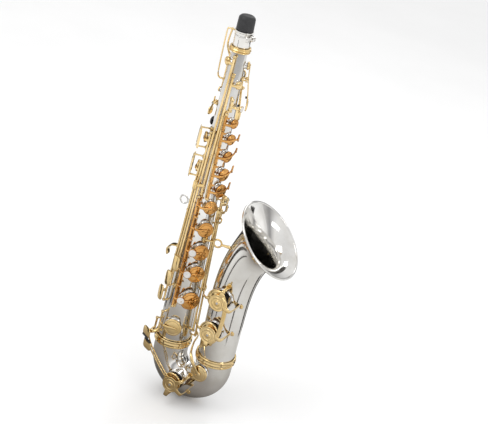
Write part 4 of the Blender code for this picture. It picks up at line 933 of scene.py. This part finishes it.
def long_key_metal(row, touch_angle, touch_above, touch_wide):
    low_angle, high_angle, low, high, cup_angle, cup_height, radius, touch_low, touch_high = row[1:]
    ends = pair_of(low, high, low_angle, high_angle)
    normal = outward(cup_angle)
    seat = on_tube(cup_height, cup_angle, CHIMNEY_TALL + PAD_GAP)
    rim = radius + CUP_LIP
    top = seat + normal * (CUP_TALL + 0.0004)
    hinge = at_height(ends, low, high, cup_height)
    hinge_angle = low_angle + (high_angle - low_angle) * (cup_height - low) / (high - low)
    between = (cup_angle + hinge_angle) / 2
    arch = on_tube(cup_height, between, 0.0107)
    metal = [hinge_tube(*ends, LONG_SLEEVE_R)] + cup_shells(seat, normal, rim)
    metal.append(bar([hinge + outward(hinge_angle) * 0.0010, arch, top], [0.0048, 0.0044, 0.0034], 0.0021,
                     [outward(hinge_angle), outward(between), normal]))
    metal.append(turned([(0, 0), (0.0028, 0), (0.0028, 0.0010), (0, 0.0014)], 0.0003, 2,
                        top - normal * 0.0004, normal, 20))
    middle = (touch_low + touch_high) / 2
    face = outward(touch_angle)
    spot = on_tube(middle, touch_angle, touch_above)
    root = at_height(ends, low, high, middle)
    metal.append(paddle(spot, face, UP, (touch_high - touch_low, touch_wide), 0.0024, 0.0010))
    metal.append(bar([root + outward(low_angle) * 0.0008, root.lerp(spot, 0.5) + face * 0.0012, spot],
                     [0.0066, 0.0060, 0.0070], 0.0022, [outward(low_angle), face, face]))
    collars = []
    for k in range(1, 3):
        at = ends[0].lerp(ends[1], k / 3)
        collars.append(turned([(0, -0.0012), (0.0029, -0.0012), (0.0029, 0.0012), (0, 0.0012)], 0.0004, 2,
                              at, ends[1] - ends[0], 20))
    return metal + collars, seat, normal, rim


def make_side_keys():
    for row in SIDE_KEYS + (HIGH_F_SHARP,):
        key = row[0]
        if key == "high_f_sharp_key":
            metal, seat, normal, rim = long_key_metal(row, -103.0, 0.0200, 0.0085)
        else:
            metal, seat, normal, rim = long_key_metal(row, row[1] + SIDE_TOUCH_TURN, SIDE_TOUCH_ABOVE,
                                                      SIDE_TOUCH_WIDE)
        finish_key(key, metal, False, (seat, normal, rim))


def make_palm_keys():
    for key, angle, cup_height, radius, hinge_height, touch_low, touch_high in PALM_KEYS:
        normal, across = outward(angle), around(angle)
        hinge = on_tube(hinge_height, angle, HINGE_ABOVE)
        seat = on_tube(cup_height, angle, CHIMNEY_TALL + PAD_GAP)
        rim = radius + CUP_LIP
        top = seat + normal * (CUP_TALL + 0.0006)
        middle = (touch_low + touch_high) / 2
        spot = on_tube(middle, angle, 0.0165)
        metal = cup_shells(seat, normal, rim)
        metal.append(hinge_tube(hinge - across * PALM_HALF, hinge + across * PALM_HALF))
        metal.append(bar([top + UP * radius * 0.45, top - UP * radius * 0.3, hinge + normal * 0.0024],
                         [0.0030, 0.0040, 0.0050], 0.0020, normal))
        metal.append(bar([hinge + normal * 0.0024 + UP * 0.002, spot.lerp(hinge, 0.45) + normal * 0.002,
                          spot], [0.0050, 0.0052, 0.0084], 0.0023, normal))
        metal.append(paddle(spot, normal, UP, (touch_high - touch_low, 0.0132), 0.0026, 0.0013))
        rest_pad = spot.lerp(hinge, 0.30) - normal * 0.0026
        extra = [("_felt", [rod(rest_pad, rest_pad + normal * 0.0034, 0.0022, 18, 0.0004)], felt)]
        finish_key(key, metal, False, (seat, normal, rim), extra=extra)


def low_seat(name):
    x, height, radius, face = LOW_CUPS[name]
    seat = place(x, face - PAD_GAP, height)
    return seat, seat + RIGHT * (CUP_TALL + 0.0006), radius + CUP_LIP


def roller(low, high, radius=0.0021):
    length = (high - low).length
    return turned([(0, 0), (radius, 0), (radius, length), (0, length)], 0.0009, 4, low, high - low, 24)


def make_table_keys():
    arms = {"low_b": (0.186, ((0.0470, -0.0180, 0.186), (0.0580, -0.0345, 0.186), (0.0700, -0.0448, 0.186)),
                      (0.398, 0.4095, 38.0, 0.0170, 0.013), True),
            "low_b_flat": (0.246,
                           ((0.0465, -0.0040, 0.246), (0.0540, -0.0230, 0.2465), (0.0640, -0.0395, 0.250),
                            (0.0760, -0.0462, 0.254)), (0.412, 0.4235, 41.0, 0.0170, 0.013), True),
            "low_c_sharp": (0.134,
                            ((0.0490, 0.0040, 0.134), (0.0535, -0.0210, 0.133), (0.0610, -0.0430, 0.122),
                             (0.0740, -0.0500, 0.104)), (0.4265, 0.4375, -3.0, 0.0165, 0.014), False),}
    for name, (arm_height, knees, touch, opens) in arms.items():
        angle, low, high = TABLE_RODS[name]
        ends = pair_of(low, high, angle, angle)
        seat, top, rim = low_seat(name)
        side = outward(angle)
        first = at_height(ends, low, high, arm_height)
        path = [first + side * 0.0010] + [place(*knee) for knee in knees] + [top]
        faces = [side]
        for point in path[1:-2]:
            faces.append((point - place(0, point.y * 0.2, point.z + STRAP_HEIGHT)).normalized())
        faces += [RIGHT.copy() for _ in range(len(path) - len(faces))]
        for face in faces:
            face.z = 0
        metal = [hinge_tube(*ends, LONG_SLEEVE_R)] + cup_shells(seat, RIGHT, rim)
        metal.append(bar(path, [0.0060] * (len(path) - 1) + [0.0052], 0.0024, faces))
        metal.append(turned([(0, 0), (0.0052, 0), (0.0052, 0.0012), (0.0030, 0.0018), (0, 0.0020)], 0.0004,
                            2, top - RIGHT * 0.0004, RIGHT, 28))
        plate_low, plate_high, plate_angle, above, wide = touch
        middle = (plate_low + plate_high) / 2
        face = outward(plate_angle)
        spot = on_tube(middle, plate_angle, above)
        root = at_height(ends, low, high, middle)
        between = outward((angle + plate_angle) / 2)
        knee = on_tube(middle, (angle + plate_angle) / 2, above - 0.001)
        metal.append(paddle(spot, face, UP, (plate_high - plate_low, wide), 0.0025, 0.0007))
        metal.append(bar([root + side * 0.0010, root.lerp(knee, 0.6) + side * 0.0030, knee, spot],
                         [0.0060, 0.0056, 0.0056, 0.0070], 0.0022, [side, side, between, face]))
        extra = []
        if name != "low_c_sharp":
            turn = around(plate_angle)
            edge = spot + UP * (plate_high - plate_low) * 0.36 + face * 0.0013
            extra.append(("_roller", [roller(edge - turn * wide * 0.36, edge + turn * wide * 0.36, 0.0016)],
                          black_gloss))
        finish_key(name + "_key", metal, opens, (seat, RIGHT, rim), extra=extra)


def make_low_c():
    ends = pair_of(*LOW_C_HINGE, LOW_C_ANGLE, LOW_C_ANGLE)
    axis = (ends[1] - ends[0]).normalized()
    seat, top, rim = low_seat("low_c")
    side = outward(LOW_C_ANGLE)
    knees = ((-0.0350, -0.0400, 0.121), (-0.0220, -0.0480, 0.1045), (0.0040, -0.0500, 0.080),
             (0.0260, -0.0485, 0.0590))
    path = [ends[0] + axis * 0.005 + side * 0.0010] + [place(*knee) for knee in knees] + [top]
    faces = [side, outward(-125), outward(-105), RIGHT, RIGHT, RIGHT]
    metal = [hinge_tube(*ends, LONG_SLEEVE_R)] + cup_shells(seat, RIGHT, rim)
    along = (path[4] - path[3]).normalized()
    across = along.cross(RIGHT).normalized()
    for shift in (-0.0027, 0.0027):
        rail = [point + across * shift * weight
                for point, weight in zip(path, (0.2, 0.7, 1.0, 1.0, 1.0, 0.6))]
        metal.append(bar(rail, [0.0030, 0.0030, 0.0031, 0.0031, 0.0031, 0.0040],
                         [0.0020, 0.0020, 0.0024, 0.0026, 0.0026, 0.0026], faces))
    for share in (2, 3, 4):
        at = path[share]
        metal.append(bar([at - across * 0.0036, at + across * 0.0036], 0.0030, 0.0020, RIGHT, 3, 10))
    spot = place(-0.0275, -0.0480, 0.1010)
    face = outward(-112)
    metal.append(paddle(spot, face, UP, (0.0205, 0.0255), 0.0028, 0.0009))
    turn = around(-112)
    edge = spot + UP * 0.0096 + face * 0.0012
    extra = [("_roller", [roller(edge - turn * 0.0098, edge + turn * 0.0098)], black_gloss)]
    finish_key("low_c_key", metal, True, (seat, RIGHT, rim), extra=extra)


def make_low_e_flat():
    low, high = LOW_E_FLAT_HINGE
    height, cup_angle, radius = LOW_E_FLAT
    ends = pair_of(low, high, LOW_E_FLAT_ANGLE, LOW_E_FLAT_ANGLE)
    axis = (ends[1] - ends[0]).normalized()
    normal, side = outward(cup_angle), outward(LOW_E_FLAT_ANGLE)
    seat = on_tube(height, cup_angle, CHIMNEY_TALL + PAD_GAP)
    rim = radius + CUP_LIP
    top = seat + normal * (CUP_TALL + 0.0006)
    hinge = at_height(ends, low, high, height)
    arch = on_tube(height, (cup_angle + LOW_E_FLAT_ANGLE) / 2, 0.0127)
    metal = [hinge_tube(*ends, LONG_SLEEVE_R)] + cup_shells(seat, normal, rim)
    metal.append(bar([hinge + side * 0.0010, arch, top, top + around(cup_angle) * radius * 0.55],
                     [0.0050, 0.0058, 0.0052, 0.0028], [0.0026, 0.0024, 0.0022, 0.0014],
                     [side, outward(-98), normal, normal]))
    spot = place(-0.0372, -0.0455, 0.1262)
    face = outward(-122)
    root = ends[0] + axis * 0.003
    metal.append(paddle(spot + face * 0.0011, face, UP, (0.0205, 0.0250), 0.0024, 0.0009))
    metal.append(bar([root + side * 0.0010, place(-0.0250, -0.0440, 0.1320), spot + UP * 0.003],
                     [0.0060, 0.0064, 0.0090], 0.0024, [side, side, face]))
    turn = around(-122)
    edge = spot - UP * 0.0094 + face * 0.0023
    extra = [("_roller", [roller(edge - turn * 0.0095, edge + turn * 0.0095)], black_gloss)]
    finish_key("low_e_flat_key", metal, False, (seat, normal, rim), extra=extra)


def make_small_touches():
    """The G sharp touch with its lever, the front F touch and both octave keys."""
    low, high = G_SHARP_HINGE
    ends = pair_of(low, high, G_SHARP_ANGLE, G_SHARP_ANGLE)
    side = outward(G_SHARP_ANGLE)
    root = at_height(ends, low, high, (low + high) / 2)
    lever = [root + side * 0.0010, on_tube(0.3835, 18.0, 0.0145), on_tube(0.3840, -4.0, 0.0150),
             on_tube(0.3900, -22.0, 0.0135)]
    face = outward(59)
    spot = on_tube(0.3860, 59.0, 0.0160)
    metal = [hinge_tube(*ends, LONG_SLEEVE_R),
             bar(lever, [0.0052, 0.0046, 0.0044, 0.0040], 0.0021,
                 [side, outward(18), outward(-4), outward(-22)]),
             bar([root + side * 0.0010, on_tube(0.3850, 48.0, 0.0140), spot], [0.0060, 0.0060, 0.0080],
                 0.0022, [side, outward(48), face]),
             paddle(spot, face, UP, (0.0190, 0.0150), 0.0025, 0.0008)]
    finish_key("g_sharp_touch", metal, False)

    low, high = FRONT_F_HINGE
    ends = pair_of(low, high, FRONT_F_ANGLE, FRONT_F_ANGLE)
    side = outward(FRONT_F_ANGLE)
    face = outward(-6.0)
    spot = on_tube(0.6120, -6.0, 0.0135)
    root = ends[0].lerp(ends[1], 0.4)
    holder, pearls = pearl_parts(spot, face, 0.0062)
    metal = [hinge_tube(*ends, LONG_SLEEVE_R),
             bar([root + side * 0.0010, on_tube(0.6140, -30.0, 0.0115), spot - face * 0.0020],
                 [0.0048, 0.0042, 0.0046], 0.0020, [side, outward(-30), face])] + holder
    finish_key("front_f_key", metal, False, pearls=pearls)

    out, across = outward(BACK), around(BACK)
    hinge = on_tube(OCTAVE_HINGE, BACK, OCTAVE_ABOVE)
    spot = on_tube(0.5880, BACK, 0.0115)
    metal = [hinge_tube(hinge - across * PALM_HALF, hinge + across * PALM_HALF),
             bar([hinge + out * 0.0022 + UP * 0.0095, hinge + out * 0.0024, spot], [0.0040, 0.0052, 0.0105],
                 0.0021, out), paddle(spot, out, UP, (0.0152, 0.0172), 0.0025, 0.0012)]
    finish_key("octave_lever", metal, False)

    height, angle, radius = OCTAVE_VENT
    low, high = OCTAVE_ROD
    ends = pair_of(low, high, OCTAVE_ANGLE, OCTAVE_ANGLE, HINGE_ABOVE + 0.001)
    axis = (ends[1] - ends[0]).normalized()
    side, normal = outward(OCTAVE_ANGLE), outward(angle)
    seat = on_tube(height, angle, CHIMNEY_TALL + PAD_GAP)
    hinge = at_height(ends, low, high, height)
    upper = ends[1] - axis * 0.004
    loop = [upper + side * 0.0010, upper + side * 0.0050 + UP * 0.004, place(-0.0265, 0.0020, 0.7200),
            place(-0.0235, 0.0020, 0.7480)]
    pip = rounded([(0, 0), (radius + 0.001, 0), (radius + 0.001, CUP_TALL * 0.5), (0.0016, CUP_TALL * 0.8),
                   (0, CUP_TALL * 0.84)], 0.0005, 3)
    between = outward((angle + OCTAVE_ANGLE) / 2)
    metal = [hinge_tube(*ends, LONG_SLEEVE_R), lathe(pip, seat, normal, 28),
             bar([hinge + side * 0.0010, on_tube(height, (angle + OCTAVE_ANGLE) / 2, 0.0097),
                  seat + normal * CUP_TALL * 0.7], [0.0040, 0.0036, 0.0034], 0.0018,
                 [side, between, normal]),
             bar(loop, [0.0044, 0.0042, 0.0040, 0.0046], 0.0028, [side, side, out, out])]
    finish_key("octave_vent_key", metal, False)


# ---------------------------------------------------------------- guards, brace, plates, hooks


def lobe_shells(centre, radius):
    """A pressed guard disc: rolled edge, raised ring and a boss for the adjusting screw."""
    outline = [(0, 0.0002), (radius - 0.0008, 0.0002), (radius, 0.0006), (radius + 0.0001, 0.0016),
               (radius - 0.0008, 0.0023), (radius - 0.0022, 0.0018), (radius * 0.70, 0.0017),
               (radius * 0.66, 0.0024), (radius * 0.60, 0.0024), (radius * 0.56, 0.0017), (0.0056, 0.0017),
               (0.0050, 0.0028), (0, 0.0030)]
    return turned(outline, 0.0005, 3, centre, RIGHT, 56)


def guard_shells(discs, feet, edge):
    shells, felts, screws = [], [], []
    for centre, radius in discs:
        shells.append(lobe_shells(centre, radius))
        felts.append(rod(centre + RIGHT * 0.0006, centre - RIGHT * 0.0042, 0.0046, 28, 0.0006))
        screws.append(turned([(0, 0), (0.0024, 0), (0.0024, 0.0010), (0, 0.0012)], 0.0003, 2,
                             centre + RIGHT * 0.0027, RIGHT, 22))
        screws.append(bar([centre + RIGHT * 0.0039 + UP * 0.0019, centre + RIGHT * 0.0039 - UP * 0.0019],
                          0.0005, 0.0003, RIGHT, 2, 8))
    for disc_index, x, height in feet:
        centre, radius = discs[disc_index]
        surface = bell_side(x, height, 0.0010)
        flat = Vector((surface.x - centre.x, 0, surface.z - centre.z)).normalized()
        start = centre + flat * (radius - 0.0030) + RIGHT * 0.0011
        bend = Vector((surface.x, start.y, surface.z)) - flat * 0.003
        shells.append(bar([start, bend, bend.lerp(surface, 0.5) + flat * 0.0015, surface + flat * 0.0005],
                          [0.0092, 0.0070, 0.0058, 0.0088], [0.0018, 0.0018, 0.0018, 0.0014],
                          [RIGHT, (RIGHT + flat).normalized(), flat, (RIGHT * 0.5 + flat).normalized()]))
        toe = surface + flat * 0.0030
        level = bell_side(toe.x - STRAP_BACK, toe.z + STRAP_HEIGHT, 0.0008).y
        shells.append(paddle(Vector((toe.x, level, toe.z)), RIGHT, flat, (0.0110, 0.0090), 0.0014, 0.0002,
                             28, 0.8))
    if edge:
        path = [Vector((place(x, 0, height).x, discs[0][0].y - 0.0011, place(x, 0, height).z))
                for x, height in edge]
        shells.append(bar(path, 0.0085, 0.0018, RIGHT))
        shells.append(bar(path, 0.0022, 0.0034, RIGHT))
    return shells, felts, screws


def make_guards():
    over = {}
    for name in LOW_CUPS:
        seat = low_seat(name)[0]
        over[name] = Vector((seat.x, seat.y - CUP_TALL - 0.0004 - GUARD_LIFT, seat.z))
    over["low_b_flat"].y = over["low_b"].y
    sets = (("bell_key_guard", [(over["low_b"], 0.0175), (over["low_b_flat"], 0.0170)],
             [(0, 0.0915, 0.1585), (0, 0.1215, 0.187), (1, 0.1250, 0.2500), (1, 0.1020, 0.2870)],
             BELL_GUARD_EDGE),
            ("low_c_guard", [(over["low_c"], 0.0165)],
             [(0, 0.0340, 0.0150), (0, 0.0680, 0.0330), (0, 0.0640, 0.0640)], ()))
    for name, discs, feet, edge in sets:
        shells, felts, screws = guard_shells(discs, feet, edge)
        make(name + "_fine", shells, gold, (name,))
        make(name + "_felts", felts, felt)
        make(name + "_screws", screws, steel)
    for name, angle, low, high in SIDE_GUARDS:
        out = outward(angle)
        shells = [shield_shell(angle, low, high)]
        for height in (low + 0.0016, high - 0.0016):
            leg = [on_tube(height, angle, 0.0014), on_tube(height, angle, 0.0090),
                   on_tube(height, angle, SIDE_GUARD_ABOVE + 0.0004)]
            shells.append(bar(leg, [0.0090, 0.0060, 0.0096], 0.0016, UP, 5))
            shells.append(rib_shell(angle, angle, height - 0.0045, height + 0.0045, 0.0115))
        middle = on_tube((low + high) / 2, angle, SIDE_GUARD_ABOVE)
        make(name + "_fine", shells, gold, (name,))
        make(name + "_felt", [rod(middle + out * 0.0004, middle - out * 0.0026, 0.0034, 20, 0.0005)], felt)


def shield_shell(angle, low, high):
    """A curved shield with rounded corners, a rolled edge and a raised panel."""
    rows, columns = 28, 30
    outer, inner = [], []
    for row in range(rows + 1):
        v = 2 * row / rows - 1
        for side, ring_set in ((1, outer), (-1, inner)):
            ring = []
            for column in range(columns + 1):
                u = 2 * column / columns - 1
                corner = 1 - 0.16 * abs(v) ** 9
                panel = min(max((0.72 - max(abs(u), abs(v))) / 0.08, 0.0), 1.0)
                rim = max(max(abs(u), abs(v)) - 0.93, 0.0) / 0.07
                raised = 0.0005 * panel * panel * (3 - 2 * panel) - 0.0004 * rim
                lift = SIDE_GUARD_ABOVE + GUARD_THICK / 2 + raised
                thick = GUARD_THICK / 2 * (0.62 - 0.30 * rim ** 3)
                height = (low + high) / 2 + v * (high - low) / 2 * (1 - 0.05 * abs(u) ** 9)
                ring.append(on_tube(height, angle + u * corner * SIDE_GUARD_HALF, lift + side * thick))
            ring_set.append(ring)
    return skinned([top + under[::-1] for top, under in zip(outer, inner)])


def make_octave_guard():
    out = outward(OCTAVE_GUARD_ANGLE)
    foot = on_tube(0.655, OCTAVE_GUARD_ANGLE, 0.0)
    path = [foot + out * 0.0016, foot + out * 0.0120 + UP * 0.004, place(0, 0, 0.684) + out * 0.0300,
            place(0, 0, 0.742) + out * 0.0300, place(0, 0, 0.7485) + out * 0.0270,
            place(0, 0, 0.7485) + out * 0.0172]
    faces = [UP, (UP - out).normalized(), out, out, (UP + out).normalized(), UP]
    shells = [bar(path, [0.0060, 0.0048, 0.0046, 0.0046, 0.0046, 0.0056], 0.0024, faces),
              rib_shell(OCTAVE_GUARD_ANGLE, OCTAVE_GUARD_ANGLE, 0.6470, 0.6630, 0.0095)]
    make("octave_guard_fine", shells, gold, ("octave_guard",))


def make_brace():
    foot = on_tube(BRACE_HEIGHT, BRACE_ANGLE, 0.0014)
    centre = place(0.0480, -0.0080, BRACE_HEIGHT)
    wire = [(0.0078 + 0.0018 * math.cos(k * math.pi / 6), 0.0018 * math.sin(k * math.pi / 6))
            for k in range(12)]
    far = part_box("bell_brace")[1]
    end = Vector((far.x - 0.0006, -0.0040, BRACE_HEIGHT - STRAP_HEIGHT))
    shells = [lathe(wire, centre, Vector((0.15, -1, 0)), 40, True),
              bar([foot, centre - Vector((0.0078, 0, 0))], [0.0052, 0.0046], [0.0040, 0.0030], UP, 4),
              bar([centre + Vector((0.0078, 0, 0)), end], [0.0046, 0.0104], [0.0030, 0.0040], UP, 4),
              paddle(foot, outward(BRACE_ANGLE), UP, (0.0140, 0.0112), 0.0018, 0.0002)]
    make("bell_brace_fine", shells, gold, ("bell_brace",))


def make_bow_guard():
    """The wear plate under the bow, bent to its curve both ways."""
    rings = []
    count = 30
    for step in range(count + 1):
        share = step / count
        turn = math.radians(222 + 78 * share)
        out = Vector((math.cos(turn), 0, math.sin(turn)))
        centre = place(BOW_X, 0, BOW_HEIGHT) + out * BOW_RADIUS
        radius = BOW_R_TUBE + (BOW_R_BELL - BOW_R_TUBE) * (math.degrees(turn) - 180) / 180 + 0.0002
        half = math.radians(17) * (1 - 0.72 * abs(2 * share - 1) ** 3)
        ring = []
        for u, level in ((-1, 0), (-0.6, 0), (-0.2, 0), (0.2, 0), (0.6, 0), (1, 0), (1, 0.6), (0.94, 1),
                         (0.5, 1), (0, 1.3), (-0.5, 1), (-0.94, 1), (-1, 0.6)):
            swing = u * half
            ring.append(centre + (out * math.cos(swing) + SIDE * math.sin(swing)) * (radius + level * 0.0011))
        rings.append(ring)
    make("bow_guard_fine", [skinned(rings)], gold, ("bow_guard",))


def make_back_fittings():
    back = outward(BACK)
    centre = place(-STRAP_BACK, 0, STRAP_HEIGHT)
    wire = [(0.0078 + 0.0017 * math.cos(k * math.pi / 7), 0.0017 * math.sin(k * math.pi / 7))
            for k in range(14)]
    radius = tube_radius(STRAP_HEIGHT)
    root, tip = place(-radius - 0.0004, 0, STRAP_HEIGHT), place(-STRAP_BACK + 0.0078, 0, STRAP_HEIGHT)
    shells = [lathe(wire, centre, SIDE, 48, True),
              rib_shell(BACK, BACK, STRAP_HEIGHT - 0.017, STRAP_HEIGHT + 0.017, 0.0130, 0.0013),
              bar([root, root.lerp(tip, 0.5), tip], [0.0180, 0.0090, 0.0060], [0.0040, 0.0034, 0.0034],
                  SIDE)]
    make("strap_ring_fine", shells, silver, ("strap_ring",))
    at = on_tube(THUMB_REST_HEIGHT, BACK)
    outline = rounded([(0, 0.0006), (0.0085, 0.0006), (0.0085, 0.0026), (0.0060, 0.0050), (0, 0.0056)],
                      0.0008, 4)
    make("thumb_rest_fine", [lathe(outline, at, back, 40)], black_gloss, ("thumb_rest",))
    base = on_tube(THUMB_HOOK_HEIGHT, BACK)
    path = [base + back * 0.0010 + UP * 0.010, base + back * 0.0085 + UP * 0.0115,
            base + back * 0.0185 + UP * 0.0080, base + back * 0.0240 - UP * 0.0010,
            base + back * 0.0225 - UP * 0.0120]
    hook = bar(path, [0.0110, 0.0124, 0.0144, 0.0152, 0.0130], 0.0030,
               [UP, UP, (UP + back).normalized(), back, back])
    plate = rib_shell(BACK, BACK, THUMB_HOOK_PLATE[0], THUMB_HOOK_PLATE[1], 0.0140, 0.0013)
    make("thumb_hook_fine", [hook, plate], gold, ("thumb_hook",))
    screws = [turned([(0, 0), (0.0026, 0), (0.0026, 0.0008), (0, 0.0012)], 0.0003, 2,
                     on_tube(h, BACK, 0.0012), back, 20) for h in (0.2770, 0.3070, 0.3865, 0.4135)]
    make("plate_screws", screws, steel)


# ---------------------------------------------------------------- stage, light and camera

CAMERA_AZIMUTH, CAMERA_HEIGHT, CAMERA_ROLL = 20.0, 25.0, 14.0
CAMERA_LENS, CAMERA_FAR = 92.0, 2.30
FLOOR_BELOW = 0.0030
SKY = 0.97
CARD_RADIUS = 0.34
# dark cards that only polished metal sees: from angle, to angle, shade, height
CARDS = ((42.0, 56.0, 0.020, 0.36), (66.0, 86.0, 0.050, 0.62), (128.0, 150.0, 0.050, 0.62),
         (158.0, 170.0, 0.020, 0.30), (-30.0, -24.0, 0.08, 0.26), (-126.0, -120.0, 0.06, 0.60),
         (196.0, 210.0, 0.05, 0.30))
MAT_REACH, MAT_LIFT = 3.0, 0.0006
MAT_SHADES = ((0.0, (0.94, 0.94, 0.94)), (0.40, (0.80, 0.80, 0.79)), (0.70, (0.58, 0.57, 0.55)),
              (0.88, (0.28, 0.26, 0.24)), (1.0, (0.10, 0.09, 0.08)))


def make_camera():
    data = bpy.data.cameras.new("camera")
    data.lens = CAMERA_LENS
    data.clip_end = 60.0
    camera = bpy.data.objects.new("camera", data)
    bpy.context.scene.collection.objects.link(camera)
    low, high = cad_box
    target = (low + high) / 2 + Vector((0.006, 0.0, 0.034))
    turn, rise = math.radians(CAMERA_AZIMUTH), math.radians(CAMERA_HEIGHT)
    back = Vector((math.sin(turn) * math.cos(rise), -math.cos(turn) * math.cos(rise), math.sin(rise)))
    look = (-back).to_track_quat("-Z", "Y").to_matrix().to_4x4()
    roll = Matrix.Rotation(math.radians(CAMERA_ROLL), 4, "Z")
    camera.matrix_world = Matrix.Translation(target + back * CAMERA_FAR) @ look @ roll
    bpy.context.scene.camera = camera


def unseen(thing):
    """Something that only the metal's reflections see."""
    thing.visible_camera = False
    thing.visible_diffuse = False
    thing.visible_shadow = False


def make_stage():
    low = cad_box[0].z - FLOOR_BELOW
    size = 14.0
    mesh = bpy.data.meshes.new("floor")
    mesh.from_pydata([(-size, -size, low), (size, -size, low), (size, size, low), (-size, size, low)], [],
                     [(0, 1, 2, 3)])
    made, tree, shader = graph("pale_floor")
    mottle = noise_of(tree, 3.0, 3.0)
    link(tree, ramp_of(tree, mottle, ((0.3, (0.90, 0.90, 0.90)), (0.7, (0.92, 0.92, 0.92)))),
         shader.inputs["Base Color"])
    shader.inputs["Roughness"].default_value = 0.8
    mesh.materials.append(made)
    floor = bpy.data.objects.new("floor", mesh)
    bpy.context.scene.collection.objects.link(floor)
    for index, (start, end, shade, tall) in enumerate(CARDS):
        made, tree, shader = graph("card_%d" % index)
        shader.inputs["Base Color"].default_value = (shade, shade * 0.9, shade * 0.8, 1.0)
        shader.inputs["Roughness"].default_value = 0.9
        steps = 8
        points = []
        for k in range(steps + 1):
            out = outward(start + (end - start) * k / steps) * CARD_RADIUS
            points += [(out.x + 0.10, out.y, low + 0.001), (out.x + 0.10, out.y, low + tall)]
        mesh = bpy.data.meshes.new("card_%d" % index)
        mesh.from_pydata(points, [], [(2 * k, 2 * k + 2, 2 * k + 3, 2 * k + 1) for k in range(steps)])
        mesh.materials.append(made)
        card = bpy.data.objects.new("card_%d" % index, mesh)
        bpy.context.scene.collection.objects.link(card)
        unseen(card)
    made, tree, shader = graph("grey_mat")
    shader.inputs["Roughness"].default_value = 0.9
    coords = tree.nodes.new("ShaderNodeTexCoord")
    fade = tree.nodes.new("ShaderNodeTexGradient")
    fade.gradient_type = "SPHERICAL"
    scale = tree.nodes.new("ShaderNodeVectorMath")
    scale.operation = "SCALE"
    scale.inputs["Scale"].default_value = 1 / 1.2
    link(tree, coords.outputs["Object"], scale.inputs[0])
    link(tree, scale.outputs["Vector"], fade.inputs["Vector"])
    link(tree, ramp_of(tree, fade.outputs["Fac"], MAT_SHADES), shader.inputs["Base Color"])
    mesh = bpy.data.meshes.new("mat")
    turns = [2 * math.pi * k / 48 for k in range(48)]
    mesh.from_pydata([(math.cos(turn) * MAT_REACH, math.sin(turn) * MAT_REACH, 0.0) for turn in turns], [],
                     [tuple(range(48))])
    mesh.materials.append(made)
    mat = bpy.data.objects.new("mat", mesh)
    mat.location = (0.0, -0.03, low + MAT_LIFT)
    bpy.context.scene.collection.objects.link(mat)
    unseen(mat)


def make_world():
    """A white studio whose walls shade towards grey near the horizon for the metal to reflect."""
    world = bpy.data.worlds.new("studio")
    bpy.context.scene.world = world
    world.use_nodes = True
    tree = world.node_tree
    background = tree.nodes["Background"]
    coords = tree.nodes.new("ShaderNodeTexCoord")
    split = tree.nodes.new("ShaderNodeSeparateXYZ")
    link(tree, coords.outputs["Generated"], split.inputs["Vector"])
    stops = [(0.0, (0.60, 0.60, 0.61)), (0.16, (0.36, 0.36, 0.37)), (0.30, (0.70, 0.70, 0.71)),
             (0.50, (1.0, 1.0, 1.0)), (0.95, (0.85, 0.85, 0.85))]
    grey = ramp_of(tree, split.outputs["Z"], stops)
    eye = tree.nodes.new("ShaderNodeLightPath")
    plain = tree.nodes.new("ShaderNodeMix")
    plain.data_type = "RGBA"
    link(tree, eye.outputs["Is Glossy Ray"], plain.inputs["Factor"])
    link(tree, grey, plain.inputs["B"])
    plain.inputs["A"].default_value = (1.0, 1.0, 1.0, 1.0)
    link(tree, plain.outputs["Result"], background.inputs["Color"])
    background.inputs["Strength"].default_value = SKY


def make_lights():
    centre = (cad_box[0] + cad_box[1]) / 2
    for name, azimuth, rise, far, wide, power in (("key_softbox", -40.0, 52.0, 2.4, 1.1, 13.0),
                                                  ("side_strip", 70.0, 28.0, 2.2, 0.45, 6.0),
                                                  ("back_strip", 185.0, 40.0, 2.4, 0.7, 6.0)):
        data = bpy.data.lights.new(name, "AREA")
        data.shape = "RECTANGLE"
        data.size, data.size_y = wide, wide * 1.8
        data.energy = power
        lamp = bpy.data.objects.new(name, data)
        bpy.context.scene.collection.objects.link(lamp)
        turn, up = math.radians(azimuth), math.radians(rise)
        away = Vector((math.sin(turn) * math.cos(up), -math.cos(turn) * math.cos(up), math.sin(up)))
        lamp.location = centre + away * far
        lamp.rotation_mode = "QUATERNION"
        lamp.rotation_quaternion = (-away).to_track_quat("-Z", "Y")


make_camera()
make_stage()
make_world()
make_lights()
make_tube()
make_bow()
make_bell()
make_chimneys()
make_collars()
make_receiver()
make_plug()
make_rods_and_posts()
make_stack(UPPER_STACK, UPPER_CUP, UPPER_HINGE, UPPER_POSTS)
make_stack(LOWER_STACK + (G_SHARP,), LOWER_CUP, LOWER_HINGE, LOWER_POSTS)
make_side_keys()
make_palm_keys()
make_table_keys()
make_low_c()
make_low_e_flat()
make_small_touches()
make_guards()
make_octave_guard()
make_brace()
make_bow_guard()
make_back_fittings()

bpy.context.scene.view_settings.view_transform = "Standard"
